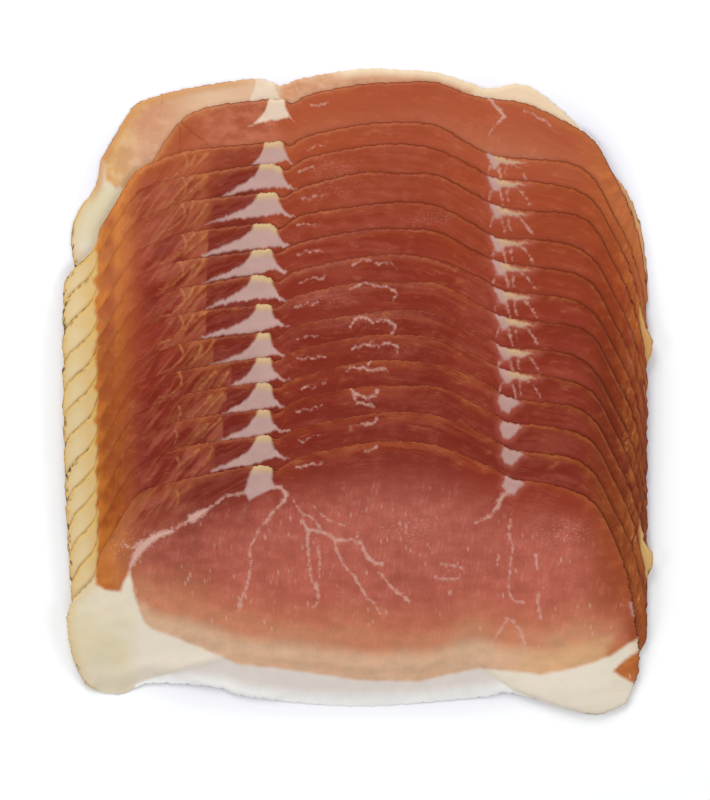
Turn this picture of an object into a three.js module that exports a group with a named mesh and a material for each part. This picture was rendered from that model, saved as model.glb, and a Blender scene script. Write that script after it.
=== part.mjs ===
// Sliced back bacon: a fan of thin cured slices, each lying on the one behind it like roof shingles.
// Millimetres. +X runs across the slices, +Y points from the front slice to the hindmost, +Z is up.
// All slices share one outline with three lobes along its upper edge, a fat corner at the lower left
// and a flap at the lower right. Slice 1 lies flat on the table and slice 15 is the one wholly seen.

import * as THREE from "three";

// Sheet sizes.
const THICKNESS = 0.9;
const LAYER_PITCH = 1.15; // rise from one slice to the next that lies on it

// Steps towards -Y from each slice to the next, starting at the hindmost.
const STEPS = [6.0, 11.1, 6.9, 8.4, 9.3, 8.1, 8.1, 8.1, 9.0, 7.5, 7.8, 7.5, 8.4, 9.0];
const SLICE_COUNT = STEPS.length + 1;
const FAN_LENGTH = STEPS.reduce((sum, step) => sum + step, 0);
const MEAN_STEP = FAN_LENGTH / STEPS.length;

// Grid of each sheet: columns from left to right, rows from the upper edge to the lower one.
const COLUMNS = 30;
const ROWS = 6;

// The front slice's outline, as four edges that meet at its corners.
const UPPER_EDGE = [
  [-77.4, -48.6],
  [-73.5, -42.3],
  [-67.8, -33.0],
  [-63.3, -29.4],
  [-51.0, -25.2],
  [-32.7, -22.2],
  [-26.7, -21.9],
  [-24.0, -23.0],
  [-17.1, -19.2],
  [0.9, -15.3],
  [12.9, -14.7],
  [24.9, -15.9],
  [39.3, -21.9],
  [46.5, -25.8],
  [54.9, -27.0],
  [63.9, -28.5],
  [69.3, -31.2],
  [72.9, -35.4],
  [76.5, -42.6],
];
const LOWER_EDGE = [
  [-81.9, -87.6],
  [-77.1, -90.0],
  [-70.5, -90.3],
  [-62.0, -87.2],
  [-42.6, -88.5],
  [-32.1, -91.5],
  [0.9, -94.2],
  [36.9, -91.5],
  [46.5, -90.3],
  [68.4, -96.3],
  [75.9, -95.7],
  [82.5, -93.3],
];
const LEFT_EDGE = [
  [-77.4, -48.6],
  [-78.4, -53.1],
  [-80.3, -56.7],
  [-85.6, -62.4],
  [-87.3, -69.0],
  [-85.4, -80.1],
  [-81.9, -87.6],
];
const RIGHT_EDGE = [
  [76.5, -42.6],
  [81.9, -53.7],
  [85.8, -68.1],
  [87.0, -82.5],
  [82.5, -93.3],
];

// How the outline changes from slice to slice.
const LEFT_SEAM_X = -25;
const LEFT_SEAM_DRIFT = 4.5; // of slice 2, gone by slice 7
const HINDMOST_SEAM_DRIFT = 1;
const RIGHT_SEAM_X = 44;
const RIGHT_SEAM_DRIFT = -0.5; // for each slice behind the front one
const SEAM_REACH = 16;
const LOBE_X = 10;
const LOBE_REACH = 42;
const LOBE_DRIFT = 0.17; // lower middle lobe for each slice behind the front one
const BULGE_SLICE = 5.5; // where the left corners stand out furthest
const CORNER_BULGE = 1.35;
const CORNER_CURVE = 0.036;
const HINDMOST_CORNER = 1.2; // the hindmost slice's corner stands this far inside
const EDGE_WAVE = 0.25;
const FRONT_NARROWING = 2.4; // the front slice's right edge stands this far inside the others
const TAB_REACH = 3.6;
const EDGE_TABS = { 4: [-76.5, 2.0], 12: [-74.5, 2.2] }; // y and height of the tabs on the right
// Moves along Y of the hindmost two slices' upper edges, each at a place across. Both have a bump
// beside the right seam, and the hindmost one a shoulder under the next slice.
const OWN_RISES = {
  1: [
    [-77.4, 3.0],
    [-67.8, 3.6],
    [-51.0, 1.8],
    [-32.7, 2.1],
    [-26.7, 1.2],
    [-24.0, 1.5],
    [-17.1, 0.7],
    [0.9, -0.4],
    [12.9, -0.8],
    [24.9, -0.6],
    [39.3, 1.3],
    [46.5, 3.2],
    [54.9, 5.6],
    [63.9, -2.2],
    [69.3, -6.6],
    [72.9, -6.6],
    [76.5, -5.6],
  ],
  2: [
    [-51.0, 0.0],
    [-32.7, 2.2],
    [-24.0, 2.4],
    [-17.1, 1.1],
    [12.9, 1.3],
    [24.9, 1.9],
    [39.3, 4.2],
    [46.5, 6.6],
    [54.9, 5.3],
    [63.9, 1.3],
    [69.3, 0.2],
  ],
};

// The drape: the line where a covered slice ends, and how softly the others bend down over it.
const LOWER_Y = -94.2;
const LOWER_BOW = 5; // the slices end this much earlier at the two ends
const HALF_WIDTH = 87;
const BEND_LAG = 1.5; // layers
const RIPPLE = 0.25;

// The front slice's raised corner and flap: centre, reach along X and Y, height.
const FRONT_LIFTS = [
  { x: -79, y: -74, reachX: 9, reachY: 13, height: 1.6 },
  { x: 66, y: -91, reachX: 15, reachY: 8, height: 2.2 },
];

const clamp = (value, low, high) => Math.min(high, Math.max(low, value));
const smoothRamp = (x, from, to) => THREE.MathUtils.smoothstep((x - from) / (to - from), 0, 1);
const bell = (distance, reach) => Math.exp(-((distance / reach) ** 2));

// Value at x of a table of places and values, with straight lines between its rows.
function readTable(rows, x) {
  const next = rows.findIndex(([place]) => place >= x);
  if (next <= 0) return next < 0 ? rows[rows.length - 1][1] : rows[0][1];
  const [before, low] = rows[next - 1];
  const [after, high] = rows[next];
  return low + ((high - low) * (x - before)) / (after - before);
}

function sliceShift(slice) {
  return FAN_LENGTH - STEPS.slice(0, slice - 1).reduce((sum, step) => sum + step, 0);
}

// Sideways move of an outline point: the seams and the left corners wander through the fan.
function sidewaysDrift(slice, x) {
  const isFront = slice === SLICE_COUNT;
  const isHindmost = slice === 1;
  const leftSeam = isHindmost
    ? HINDMOST_SEAM_DRIFT
    : LEFT_SEAM_DRIFT * clamp((7 - slice) / 5, 0, 1);
  const rightSeam = RIGHT_SEAM_DRIFT * (SLICE_COUNT - slice);
  let corner = CORNER_CURVE * (slice - BULGE_SLICE) ** 2 - CORNER_BULGE;
  if (isFront) corner = 0;
  if (isHindmost) corner = HINDMOST_CORNER;
  return (
    leftSeam * bell(x - LEFT_SEAM_X, SEAM_REACH) +
    rightSeam * bell(x - RIGHT_SEAM_X, SEAM_REACH) +
    corner * smoothRamp(-x, 76, 84) -
    (isFront ? FRONT_NARROWING : 0) * smoothRamp(x, 79, 85)
  );
}

// Move along Y of a point of the upper edge.
function upperEdgeRise(slice, x) {
  let rise = -LOBE_DRIFT * (SLICE_COUNT - slice) * bell(x - LOBE_X, LOBE_REACH);
  rise += EDGE_WAVE * (Math.sin(x / 6.1 + 1.7 * slice) + Math.sin(x / 3.7 + 2.9 * slice));
  return OWN_RISES[slice] ? rise + readTable(OWN_RISES[slice], x) : rise;
}

// The left and right edges start where the upper edge ends, so they share its rise there.
function endRise(slice, x, y) {
  const first = x < 0 ? UPPER_EDGE[0] : UPPER_EDGE[UPPER_EDGE.length - 1];
  return upperEdgeRise(slice, first[0]) * clamp(1 - (first[1] - y) / 20, 0, 1);
}

// Slice 2 is torn at its left, so that the hindmost slice shows beside it.
function tearDrop(slice, x, y) {
  return slice === 2 ? 12.5 * smoothRamp(-x, 52.5, 56.5) * smoothRamp(y, -88, -60) : 0;
}

// A tab of fat that stands out of the right edge of some slices.
function tabReach(slice, y) {
  const tab = EDGE_TABS[slice];
  return tab ? tab[1] * bell(y - tab[0], TAB_REACH) : 0;
}

// Lower edge of a covered slice, without the front slice's flap.
const plainLowerY = (x) => LOWER_Y + LOWER_BOW * (x / HALF_WIDTH) ** 2;

// Evenly spaced points along one edge of a slice, in its place in the fan.
function edgePoints(slice, edge, count) {
  const moved = edge.map(([x, y]) => {
    const rise = edge === UPPER_EDGE ? upperEdgeRise(slice, x) : endRise(slice, x, y);
    const kept = slice === SLICE_COUNT ? y : Math.max(y, plainLowerY(x));
    return new THREE.Vector2(x + sidewaysDrift(slice, x), kept + rise - tearDrop(slice, x, y));
  });
  const points = new THREE.SplineCurve(moved).getSpacedPoints(count);
  for (const point of points) {
    if (edge === RIGHT_EDGE) point.x += tabReach(slice, point.y);
    point.y += sliceShift(slice);
  }
  return points;
}

// Layers under a point that have ended by there: none behind the bend, then one more each step.
function endedLayers(x, y) {
  const steps = Math.max(0, (plainLowerY(x) + FAN_LENGTH - y) / MEAN_STEP);
  const slope = STEPS.length / (STEPS.length - BEND_LAG);
  return steps < 2 * BEND_LAG
    ? (slope * steps ** 2) / (4 * BEND_LAG)
    : slope * (steps - BEND_LAG);
}

function ripple(x, y) {
  return RIPPLE * (1 + 0.5 * Math.sin(x / 9 + y / 23) + 0.5 * Math.sin(x / 13 - y / 15 + 2));
}

// Height of a slice's underside.
function undersideHeight(slice, x, y) {
  const layers = Math.max(0, slice - 1 - endedLayers(x, y));
  let height = LAYER_PITCH * layers + ripple(x, y) * (1 - Math.exp(-layers / 2));
  if (slice === SLICE_COUNT) {
    for (const lift of FRONT_LIFTS) {
      height += lift.height * bell(x - lift.x, lift.reachX) * bell(y - lift.y, lift.reachY);
    }
  }
  return height;
}

// Grid of points inside the four edges: each row and column blends the two edges beside it.
function sheetGrid(slice) {
  const upper = edgePoints(slice, UPPER_EDGE, COLUMNS);
  const lower = edgePoints(slice, LOWER_EDGE, COLUMNS);
  const left = edgePoints(slice, LEFT_EDGE, ROWS);
  const right = edgePoints(slice, RIGHT_EDGE, ROWS);
  const grid = [];
  for (let row = 0; row <= ROWS; row++) {
    const v = row / ROWS;
    for (let column = 0; column <= COLUMNS; column++) {
      const u = column / COLUMNS;
      const point = new THREE.Vector2()
        .addScaledVector(upper[column], 1 - v)
        .addScaledVector(lower[column], v)
        .addScaledVector(left[row], 1 - u)
        .addScaledVector(right[row], u)
        .addScaledVector(upper[0], -(1 - u) * (1 - v))
        .addScaledVector(upper[COLUMNS], -u * (1 - v))
        .addScaledVector(lower[0], -(1 - u) * v)
        .addScaledVector(lower[COLUMNS], -u * v);
      grid.push(point);
    }
  }
  return grid;
}

// Indices of the grid's rim, counter-clockwise as seen from above.
function rimLoop() {
  const wide = COLUMNS + 1;
  const loop = [];
  for (let row = 0; row < ROWS; row++) loop.push(row * wide);
  for (let column = 0; column < COLUMNS; column++) loop.push(ROWS * wide + column);
  for (let row = ROWS; row > 0; row--) loop.push(row * wide + COLUMNS);
  for (let column = COLUMNS; column > 0; column--) loop.push(column);
  return loop;
}

// A closed sheet: the grid's upper and lower faces, split alike, and the cut edge round them.
function sheetGeometry(slice) {
  const grid = sheetGrid(slice);
  const heights = grid.map((point) => undersideHeight(slice, point.x, point.y));
  const positions = [];
  grid.forEach((point, i) => positions.push(point.x, point.y, heights[i] + THICKNESS));
  grid.forEach((point, i) => positions.push(point.x, point.y, heights[i]));
  const below = grid.length;
  const wide = COLUMNS + 1;
  const index = [];
  for (let row = 0; row < ROWS; row++) {
    for (let column = 0; column < COLUMNS; column++) {
      const a = row * wide + column;
      const b = a + 1;
      const c = a + wide;
      const d = c + 1;
      index.push(a, c, d, a, d, b);
      index.push(below + a, below + d, below + c, below + a, below + b, below + d);
    }
  }
  const rim = rimLoop();
  rim.forEach((here, i) => {
    const next = rim[(i + 1) % rim.length];
    index.push(here, below + here, below + next, here, below + next, next);
  });
  const geometry = new THREE.BufferGeometry();
  geometry.setAttribute("position", new THREE.Float32BufferAttribute(positions, 3));
  geometry.setIndex(index);
  geometry.computeVertexNormals();
  return geometry;
}

// Cured lean meat, a little deeper in tone where more slices lie under it.
function curedMeat(slice) {
  const depth = clamp((slice - 1) / 9, 0, 1);
  const color = new THREE.Color(0xc47a58).lerp(new THREE.Color(0x8f3429), depth);
  return new THREE.MeshStandardMaterial({ color, roughness: 0.42, metalness: 0 });
}

function makeSlice(slice) {
  const mesh = new THREE.Mesh(sheetGeometry(slice), curedMeat(slice));
  mesh.name = "slice_" + String(slice).padStart(2, "0");
  return mesh;
}

const bacon = new THREE.Group();
bacon.name = "sliced_back_bacon";
for (let slice = 1; slice <= SLICE_COUNT; slice++) {
  bacon.add(makeSlice(slice));
}

export default bacon;
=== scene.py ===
"""Sliced back bacon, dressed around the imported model: fifteen thin cured slices in a shingled fan.

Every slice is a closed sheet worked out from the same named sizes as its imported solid. Lengths are in
millimetres, +X runs across the slices, +Y points from the front slice to the hindmost one and +Z is up.
A sheet is written to its mesh in metres. "Slice coordinates" are those of the front slice: a point of any
slice has the x and y that it would have if its slice lay where the front one does.
"""

import logging
import math
from collections.abc import Mapping
from dataclasses import dataclass, field
from enum import Enum
from typing import Any

import bpy
import numpy as np
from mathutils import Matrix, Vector
from numpy.typing import NDArray


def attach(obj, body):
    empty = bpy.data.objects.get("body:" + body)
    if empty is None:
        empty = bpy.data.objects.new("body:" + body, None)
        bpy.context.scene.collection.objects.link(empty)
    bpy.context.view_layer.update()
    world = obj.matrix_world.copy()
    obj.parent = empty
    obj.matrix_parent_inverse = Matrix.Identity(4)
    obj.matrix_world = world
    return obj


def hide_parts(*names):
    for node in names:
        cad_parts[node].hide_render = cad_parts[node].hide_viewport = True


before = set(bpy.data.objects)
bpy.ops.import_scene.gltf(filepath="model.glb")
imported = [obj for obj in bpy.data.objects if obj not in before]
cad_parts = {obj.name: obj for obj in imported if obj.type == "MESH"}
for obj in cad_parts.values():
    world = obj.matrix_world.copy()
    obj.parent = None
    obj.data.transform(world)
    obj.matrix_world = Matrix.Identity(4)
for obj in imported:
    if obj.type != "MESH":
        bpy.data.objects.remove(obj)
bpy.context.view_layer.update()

LOG = logging.getLogger("sliced_back_bacon")
METRES = 0.001
TAU = 2 * math.pi
FAR = 1000.0
NO_FAT = -9.0  # depth of a point that is nowhere near a patch of fat
SEED = 4711
SHEEN = 0.008  # light that the studio adds to every colour by reflection
SLICE_SPACING = 2.2  # between two slices, where a pattern is read through all of them
SLICE_TOTAL = 15.0
SECOND = 2  # the slice before the hindmost one

Field = NDArray[np.float64]
Path = tuple[tuple[float, float], ...]
Zones = tuple[tuple[float, int], ...]
Span = tuple[float, float]
Color = tuple[float, float, float, float]
Tones = tuple[tuple[float, Color], ...]
Socket = bpy.types.NodeSocket


def smooth_ramp(x: Field | float, start: float, end: float) -> Field:
    """Smooth step of some values, from 0 at the start to 1 at the end."""
    t = np.clip((np.asarray(x, float) - start) / (end - start), 0, 1)
    return t * t * (3 - 2 * t)


def bell(distance: Field | float, reach: float) -> Field:
    """The bump exp(-(distance / reach) squared)."""
    return np.exp(-((np.asarray(distance, float) / reach) ** 2))


def plateau(x: Field, start: float, full: float, fading: float, end: float) -> Field:
    """Rises from 0 at start to 1 at full, and falls from 1 at fading to 0 at end."""
    return smooth_ramp(x, start, full) * smooth_ramp(-x, -end, -fading)


def tone(red: float, green: float, blue: float) -> Color:
    """A colour as a screen shows it, 0 to 255 in each part, as linear light less the studio's sheen.

    Args:
        red: Red part.
        green: Green part.
        blue: Blue part.

    Returns:
        The linear colour with an alpha of 1.
    """
    parts = np.array([red, green, blue]) / 255
    low = parts / 12.92
    high = ((parts + 0.055) / 1.055) ** 2.4
    linear = np.maximum(np.where(parts <= 0.04045, low, high) - SHEEN, 0.003)
    return (float(linear[0]), float(linear[1]), float(linear[2]), 1.0)


def tones(*stops: tuple[float, float, float, float]) -> Tones:
    """A tone table: each stop is a place on its scale, and the red, green and blue of a tone."""
    return tuple((place, tone(red, green, blue)) for place, red, green, blue in stops)


def add_object(label: str, data: bpy.types.ID) -> bpy.types.Object:
    """Makes an object of some data in the scene."""
    made = bpy.data.objects.new(label, data)
    bpy.context.scene.collection.objects.link(made)
    return made


@dataclass(frozen=True)
class Waves:
    """A sum of sines with seeded phases and directions, for wandering edges and uneven faces."""

    seed: int
    lengths: tuple[float, ...]

    def draw(self) -> tuple[Field, Field]:
        """Draws the phase and the direction of each sine."""
        rng = np.random.default_rng(self.seed)
        return rng.uniform(0, TAU, len(self.lengths)), rng.uniform(0, math.pi, len(self.lengths))

    def along(self, distance: Field) -> Field:
        """The mean of sin(distance * TAU / length + phase) over the lengths.

        Args:
            distance: Places along a line.

        Returns:
            The means, from -1 to 1.
        """
        phases, _ = self.draw()
        turns = distance[..., None] * TAU / np.array(self.lengths) + phases
        return np.sin(turns).mean(-1)

    def over(self, x: Field, y: Field) -> Field:
        """The same mean over the plane: each sine runs along its own direction.

        Args:
            x: Places across.
            y: Places along.

        Returns:
            The means, from -1 to 1.
        """
        phases, directions = self.draw()
        along = x[..., None] * np.cos(directions) + y[..., None] * np.sin(directions)
        return np.sin(along * TAU / np.array(self.lengths) + phases).mean(-1)


class Side(Enum):
    """The four edges of a slice's outline."""

    UPPER = "upper"
    LOWER = "lower"
    LEFT = "left"
    RIGHT = "right"


@dataclass(frozen=True)
class Fan:
    """How the slices lie on each other."""

    steps: tuple[float, ...] = (6.0, 11.1, 6.9, 8.4, 9.3, 8.1, 8.1, 8.1, 9.0, 7.5, 7.8, 7.5, 8.4, 9.0)
    thickness: float = 0.9
    pitch: float = 1.15
    lower_y: float = -94.2
    lower_bow: float = 5.0
    half_width: float = 87.0
    bend_lag: float = 1.5
    ripple: float = 0.25
    # The ripple's waves: the ways across and along for a turn by one radian, and the phase.
    ripple_waves: tuple[tuple[float, float, float], ...] = ((9.0, 23.0, 0.0), (13.0, -15.0, 2.0))
    ripple_onset: float = 2.0  # layers over which the ripple grows
    # Raised corner and flap of the front slice: centre, reach along X and Y, height.
    lifts: tuple[tuple[float, float, float, float, float], ...] = (
        (-79.0, -74.0, 9.0, 13.0, 1.6),
        (66.0, -91.0, 15.0, 8.0, 2.2),
    )

    @property
    def count(self) -> int:
        """Number of slices."""
        return len(self.steps) + 1

    @property
    def length(self) -> float:
        """Way from the front slice to the hindmost one."""
        return sum(self.steps)

    def shift(self, number: int) -> float:
        """How far a slice lies behind the front one."""
        return self.length - sum(self.steps[: number - 1])

    def plain_lower(self, x: Field | float) -> Field:
        """Lower end of a covered slice: lower_y plus a bow that grows with the square of x."""
        return self.lower_y + self.lower_bow * (np.asarray(x, float) / self.half_width) ** 2

    def ended_layers(self, x: Field, y: Field) -> Field:
        """Layers that have ended by a point: none behind the bend, then one more each mean step.

        The bend is a parabola over the first two lags of steps, which meets the straight rise after it.

        Args:
            x: Places across the fan.
            y: Places along the fan.

        Returns:
            The number of ended layers, with its fraction.
        """
        folds = len(self.steps)
        steps = np.maximum(0, (self.plain_lower(x) + self.length - y) * folds / self.length)
        slope = folds / (folds - self.bend_lag)
        bend = slope * steps**2 / (4 * self.bend_lag)
        return np.where(steps < 2 * self.bend_lag, bend, slope * (steps - self.bend_lag))

    def layers_below(self, number: int, x: Field, y: Field) -> Field:
        """Number of slices under a point of a slice."""
        return np.maximum(0, number - 1 - self.ended_layers(x, y))

    def underside(self, number: int, x: Field, y: Field) -> Field:
        """Height of a slice's underside: the layers below times their pitch, plus a ripple and the lifts.

        Args:
            number: The slice, 1 for the hindmost.
            x: Places across the fan.
            y: Places along the fan.

        Returns:
            The heights.
        """
        layers = self.layers_below(number, x, y)
        waves = (0.5 * np.sin(x / across + y / along + phase) for across, along, phase in self.ripple_waves)
        ripple = self.ripple * sum(waves, 1.0) * (1 - np.exp(-layers / self.ripple_onset))
        height = self.pitch * layers + ripple
        if number == self.count:
            for middle_x, middle_y, reach_x, reach_y, lift in self.lifts:
                height = height + lift * bell(x - middle_x, reach_x) * bell(y - middle_y, reach_y)
        return height


def spline_at(corners: Field, fractions: Field, samples: int = 40) -> Field:
    """Points of the smooth curve through some corners, at fractions of its length.

    Between two corners it is the cubic whose end slopes are half the way between their neighbours. It is
    sampled finely, and the samples are read at even shares of the length.

    Args:
        corners: The corners, one row each.
        fractions: Shares of the length from 0 to 1.
        samples: Points worked out between two corners.

    Returns:
        One row for each fraction.
    """
    padded = np.vstack([corners[:1], corners, corners[-1:]])
    t = np.linspace(0, 1, samples, endpoint=False)[None, :, None]
    before, start, end, after = (padded[i : i + len(corners) - 1, None, :] for i in range(4))
    v0, v1 = (end - before) / 2, (after - start) / 2
    cubic = (2 * start - 2 * end + v0 + v1) * t**3 + (3 * end - 3 * start - 2 * v0 - v1) * t**2
    fine = np.vstack([(cubic + v0 * t + start).reshape(-1, 2), corners[-1:]])
    run = np.concatenate([[0], np.cumsum(np.hypot(*np.diff(fine, axis=0).T))])
    wanted = fractions * run[-1]
    return np.stack([np.interp(wanted, run, fine[:, 0]), np.interp(wanted, run, fine[:, 1])], 1)


@dataclass(frozen=True)
class Outline:
    """The outline that all slices share, and how it wanders from slice to slice."""

    fan: Fan
    corners: Mapping[Side, Path] = field(
        default_factory=lambda: {
            Side.UPPER: (
                (-77.4, -48.6), (-73.5, -42.3), (-67.8, -33.0), (-63.3, -29.4), (-51.0, -25.2),
                (-32.7, -22.2), (-26.7, -21.9), (-24.0, -23.0), (-17.1, -19.2), (0.9, -15.3),
                (12.9, -14.7), (24.9, -15.9), (39.3, -21.9), (46.5, -25.8), (54.9, -27.0),
                (63.9, -28.5), (69.3, -31.2), (72.9, -35.4), (76.5, -42.6),
            ),
            Side.LOWER: (
                (-81.9, -87.6), (-77.1, -90.0), (-70.5, -90.3), (-62.0, -87.2), (-42.6, -88.5),
                (-32.1, -91.5), (0.9, -94.2), (36.9, -91.5), (46.5, -90.3), (68.4, -96.3),
                (75.9, -95.7), (82.5, -93.3),
            ),
            Side.LEFT: (
                (-77.4, -48.6), (-78.4, -53.1), (-80.3, -56.7), (-85.6, -62.4), (-87.3, -69.0),
                (-85.4, -80.1), (-81.9, -87.6),
            ),
            Side.RIGHT: (
                (76.5, -42.6), (81.9, -53.7), (85.8, -68.1), (87.0, -82.5), (82.5, -93.3),
            ),
        }
    )
    left_seam_x: float = -25.0
    left_seam_drift: float = 4.5  # of the second slice
    straight_slice: int = 7  # the first slice without that drift
    hindmost_seam_drift: float = 1.0
    right_seam_x: float = 44.0
    right_seam_drift: float = -0.5  # for each slice behind the front one
    seam_reach: float = 16.0
    lobe_x: float = 10.0
    lobe_reach: float = 42.0
    lobe_drift: float = 0.17  # for each slice behind the front one
    bulge_slice: float = 5.5
    corner_bulge: float = 1.35
    corner_curve: float = 0.036
    hindmost_corner: float = 1.2
    corner_zone: Span = (76.0, 84.0)  # left of the middle, where the corner moves
    edge_wave: float = 0.25
    # The slow waves of the upper edge: the way for a turn by one radian, and the turn from slice to slice.
    edge_waves: tuple[Span, ...] = ((6.1, 1.7), (3.7, 2.9))
    end_reach: float = 20.0  # how far down a side edge goes with the upper edge's end
    front_narrowing: float = 2.4
    narrowing_zone: Span = (79.0, 85.0)
    # The second slice is torn at its left end: the drop of its edge, and where it sets in.
    torn_drop: float = 12.5
    torn_across: Span = (52.5, 56.5)
    torn_along: Span = (-88.0, -60.0)
    tab_reach: float = 3.6
    tabs: Mapping[int, tuple[float, float]] = field(
        default_factory=lambda: {4: (-76.5, 2.0), 12: (-74.5, 2.2)}
    )
    # Moves along Y of the hindmost two slices' upper edges, each at a place across.
    own_rises: Mapping[int, Path] = field(
        default_factory=lambda: {
            1: (
                (-77.4, 3.0), (-67.8, 3.6), (-51.0, 1.8), (-32.7, 2.1), (-26.7, 1.2), (-24.0, 1.5),
                (-17.1, 0.7), (0.9, -0.4), (12.9, -0.8), (24.9, -0.6), (39.3, 1.3), (46.5, 3.2),
                (54.9, 5.6), (63.9, -2.2), (69.3, -6.6), (72.9, -6.6), (76.5, -5.6),
            ),
            2: (
                (-51.0, 0.0), (-32.7, 2.2), (-24.0, 2.4), (-17.1, 1.1), (12.9, 1.3), (24.9, 1.9),
                (39.3, 4.2), (46.5, 6.6), (54.9, 5.3), (63.9, 1.3), (69.3, 0.2),
            ),
        }
    )
    frill: float = 0.16  # size of the small waves of a cut edge
    right_frill: float = 1.6  # times as large at the right
    frill_lengths: tuple[float, ...] = (1.3, 2.1, 3.4, 5.9)
    corner_calm: float = 12.0  # the small waves fade out this far before a corner

    def drift(self, number: int, x: Field) -> Field:
        """Sideways move of an outline point: bells at the two seams and a ramp at the left corner.

        Args:
            number: The slice.
            x: Places along the front slice's outline.

        Returns:
            The moves along X.
        """
        is_front = number == self.fan.count
        fading = (self.straight_slice - number) / (self.straight_slice - SECOND)
        left_seam = self.left_seam_drift * min(1.0, max(0.0, fading))
        corner = self.corner_curve * (number - self.bulge_slice) ** 2 - self.corner_bulge
        if number == 1:
            left_seam = self.hindmost_seam_drift
            corner = self.hindmost_corner
        if is_front:
            corner = 0.0
        right_seam = self.right_seam_drift * (self.fan.count - number)
        move = left_seam * bell(x - self.left_seam_x, self.seam_reach)
        move = move + right_seam * bell(x - self.right_seam_x, self.seam_reach)
        move = move + corner * smooth_ramp(-x, *self.corner_zone)
        return move - self.front_narrowing * is_front * smooth_ramp(x, *self.narrowing_zone)

    def upper_rise(self, number: int, x: Field) -> Field:
        """Move along Y of the upper edge: a lower middle lobe, two slow waves and the slice's own move.

        Args:
            number: The slice.
            x: Places along the front slice's upper edge.

        Returns:
            The moves along Y.
        """
        rise = -self.lobe_drift * (self.fan.count - number) * bell(x - self.lobe_x, self.lobe_reach)
        waves = (np.sin(x / way + turn * number) for way, turn in self.edge_waves)
        rise = rise + self.edge_wave * sum(waves)
        if number in self.own_rises:
            places, moves = np.array(self.own_rises[number]).T
            rise = rise + np.interp(x, places, moves)
        return rise

    def end_rise(self, number: int, x: Field, y: Field) -> Field:
        """Move along Y of the side edges: the upper edge's at its end, which fades out further down.

        Args:
            number: The slice.
            x: Places across.
            y: Places along.

        Returns:
            The moves along Y.
        """
        left, right = self.corners[Side.UPPER][0], self.corners[Side.UPPER][-1]
        end_x, end_y = np.where(x < 0, left[0], right[0]), np.where(x < 0, left[1], right[1])
        return self.upper_rise(number, end_x) * np.clip(1 - (end_y - y) / self.end_reach, 0, 1)

    def edge(self, number: int, side: Side, fractions: Field) -> Field:
        """Points of one edge of a slice, in its place in the fan.

        The front slice's corners are moved by the drift and the rise, slice 2 is dropped at its torn left
        end, and the curve through them gets its tab of fat.

        Args:
            number: The slice.
            side: The edge.
            fractions: Shares of the edge's length.

        Returns:
            One row of x and y for each fraction.
        """
        x, y = np.array(self.corners[side], float).T
        rise = self.upper_rise(number, x) if side is Side.UPPER else self.end_rise(number, x, y)
        kept = y if number == self.fan.count else np.maximum(y, self.fan.plain_lower(x))
        torn = self.torn_drop * smooth_ramp(-x, *self.torn_across) * smooth_ramp(y, *self.torn_along)
        torn = torn * (number == SECOND)
        moved = np.stack([x + self.drift(number, x), kept + rise - torn], 1)
        points = spline_at(moved, fractions)
        if side is Side.RIGHT and number in self.tabs:
            tab_y, height = self.tabs[number]
            points[:, 0] += height * bell(points[:, 1] - tab_y, self.tab_reach)
        points[:, 1] += self.fan.shift(number)
        return points

    def frills(self, number: int, side: Side, points: Field) -> Field:
        """Small moves across an edge: waves along its run that fade out before the corners.

        Args:
            number: The slice.
            side: The edge.
            points: Its points, one row each.

        Returns:
            The moves, one row each.
        """
        along = np.gradient(points, axis=0)
        steps = np.maximum(np.hypot(*along.T), 1e-9)
        run = np.concatenate([[0], np.cumsum(np.hypot(*np.diff(points, axis=0).T))])
        size = self.frill * (self.right_frill if side is Side.RIGHT else 1.0)
        waves = Waves(SEED + 31 * number + len(side.value), self.frill_lengths).along(run)
        calm = np.clip(np.minimum(run, run[-1] - run) / self.corner_calm, 0, 1)
        across = np.stack([-along[:, 1], along[:, 0]], 1) / steps[:, None]
        return across * (2 * size * waves * calm)[:, None]

    def cut_edge(self, number: int, side: Side, fractions: Field) -> Field:
        """Points of one edge with the small waves of a cut."""
        points = self.edge(number, side, fractions)
        return points + self.frills(number, side, points)

    def crown(self, number: int, x: Field, samples: int = 400) -> Field:
        """Height along Y of a slice's upper and outer edge at x, over its whole width.

        Args:
            number: The slice.
            x: Places across the fan.
            samples: Points worked out on each edge.

        Returns:
            The y of the edge there, without the small waves' folds.
        """
        fractions = np.linspace(0, 1, samples)
        sides = (Side.UPPER, Side.LEFT, Side.RIGHT)
        upper, left, right = (self.cut_edge(number, side, fractions) for side in sides)
        left = left[: int(np.argmin(left[:, 0])) + 1][::-1]
        right = right[: int(np.argmax(right[:, 0])) + 1]
        line = np.vstack([left, upper[1:-1], right])
        return np.interp(x, np.maximum.accumulate(line[:, 0]), line[:, 1])


@dataclass(frozen=True)
class Vein:
    """A thin line of fat: its path in slice coordinates and its half width at both ends."""

    path: Path
    start: float
    end: float

    def reach(self, x: Field, y: Field) -> Field:
        """Half width minus the distance to the smooth path.

        Args:
            x: Places across, in slice coordinates.
            y: Places along, in slice coordinates.

        Returns:
            The difference, positive inside the line.
        """
        knots = np.array(self.path)
        if len(knots) > 2:
            knots = spline_at(knots, np.linspace(0, 1, 3 * len(knots) - 2))
        widths = np.linspace(self.start, self.end, len(knots))
        best = np.full(np.shape(x), -FAR)
        for i in range(len(knots) - 1):
            (ax, ay), (bx, by) = knots[i], knots[i + 1]
            share = ((x - ax) * (bx - ax) + (y - ay) * (by - ay)) / ((bx - ax) ** 2 + (by - ay) ** 2)
            share = np.clip(share, 0, 1)
            away = np.hypot(x - ax - share * (bx - ax), y - ay - share * (by - ay))
            best = np.maximum(best, widths[i] + share * (widths[i + 1] - widths[i]) - away)
        return best


VeinTable = tuple[tuple[int, Vein], ...]


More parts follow.
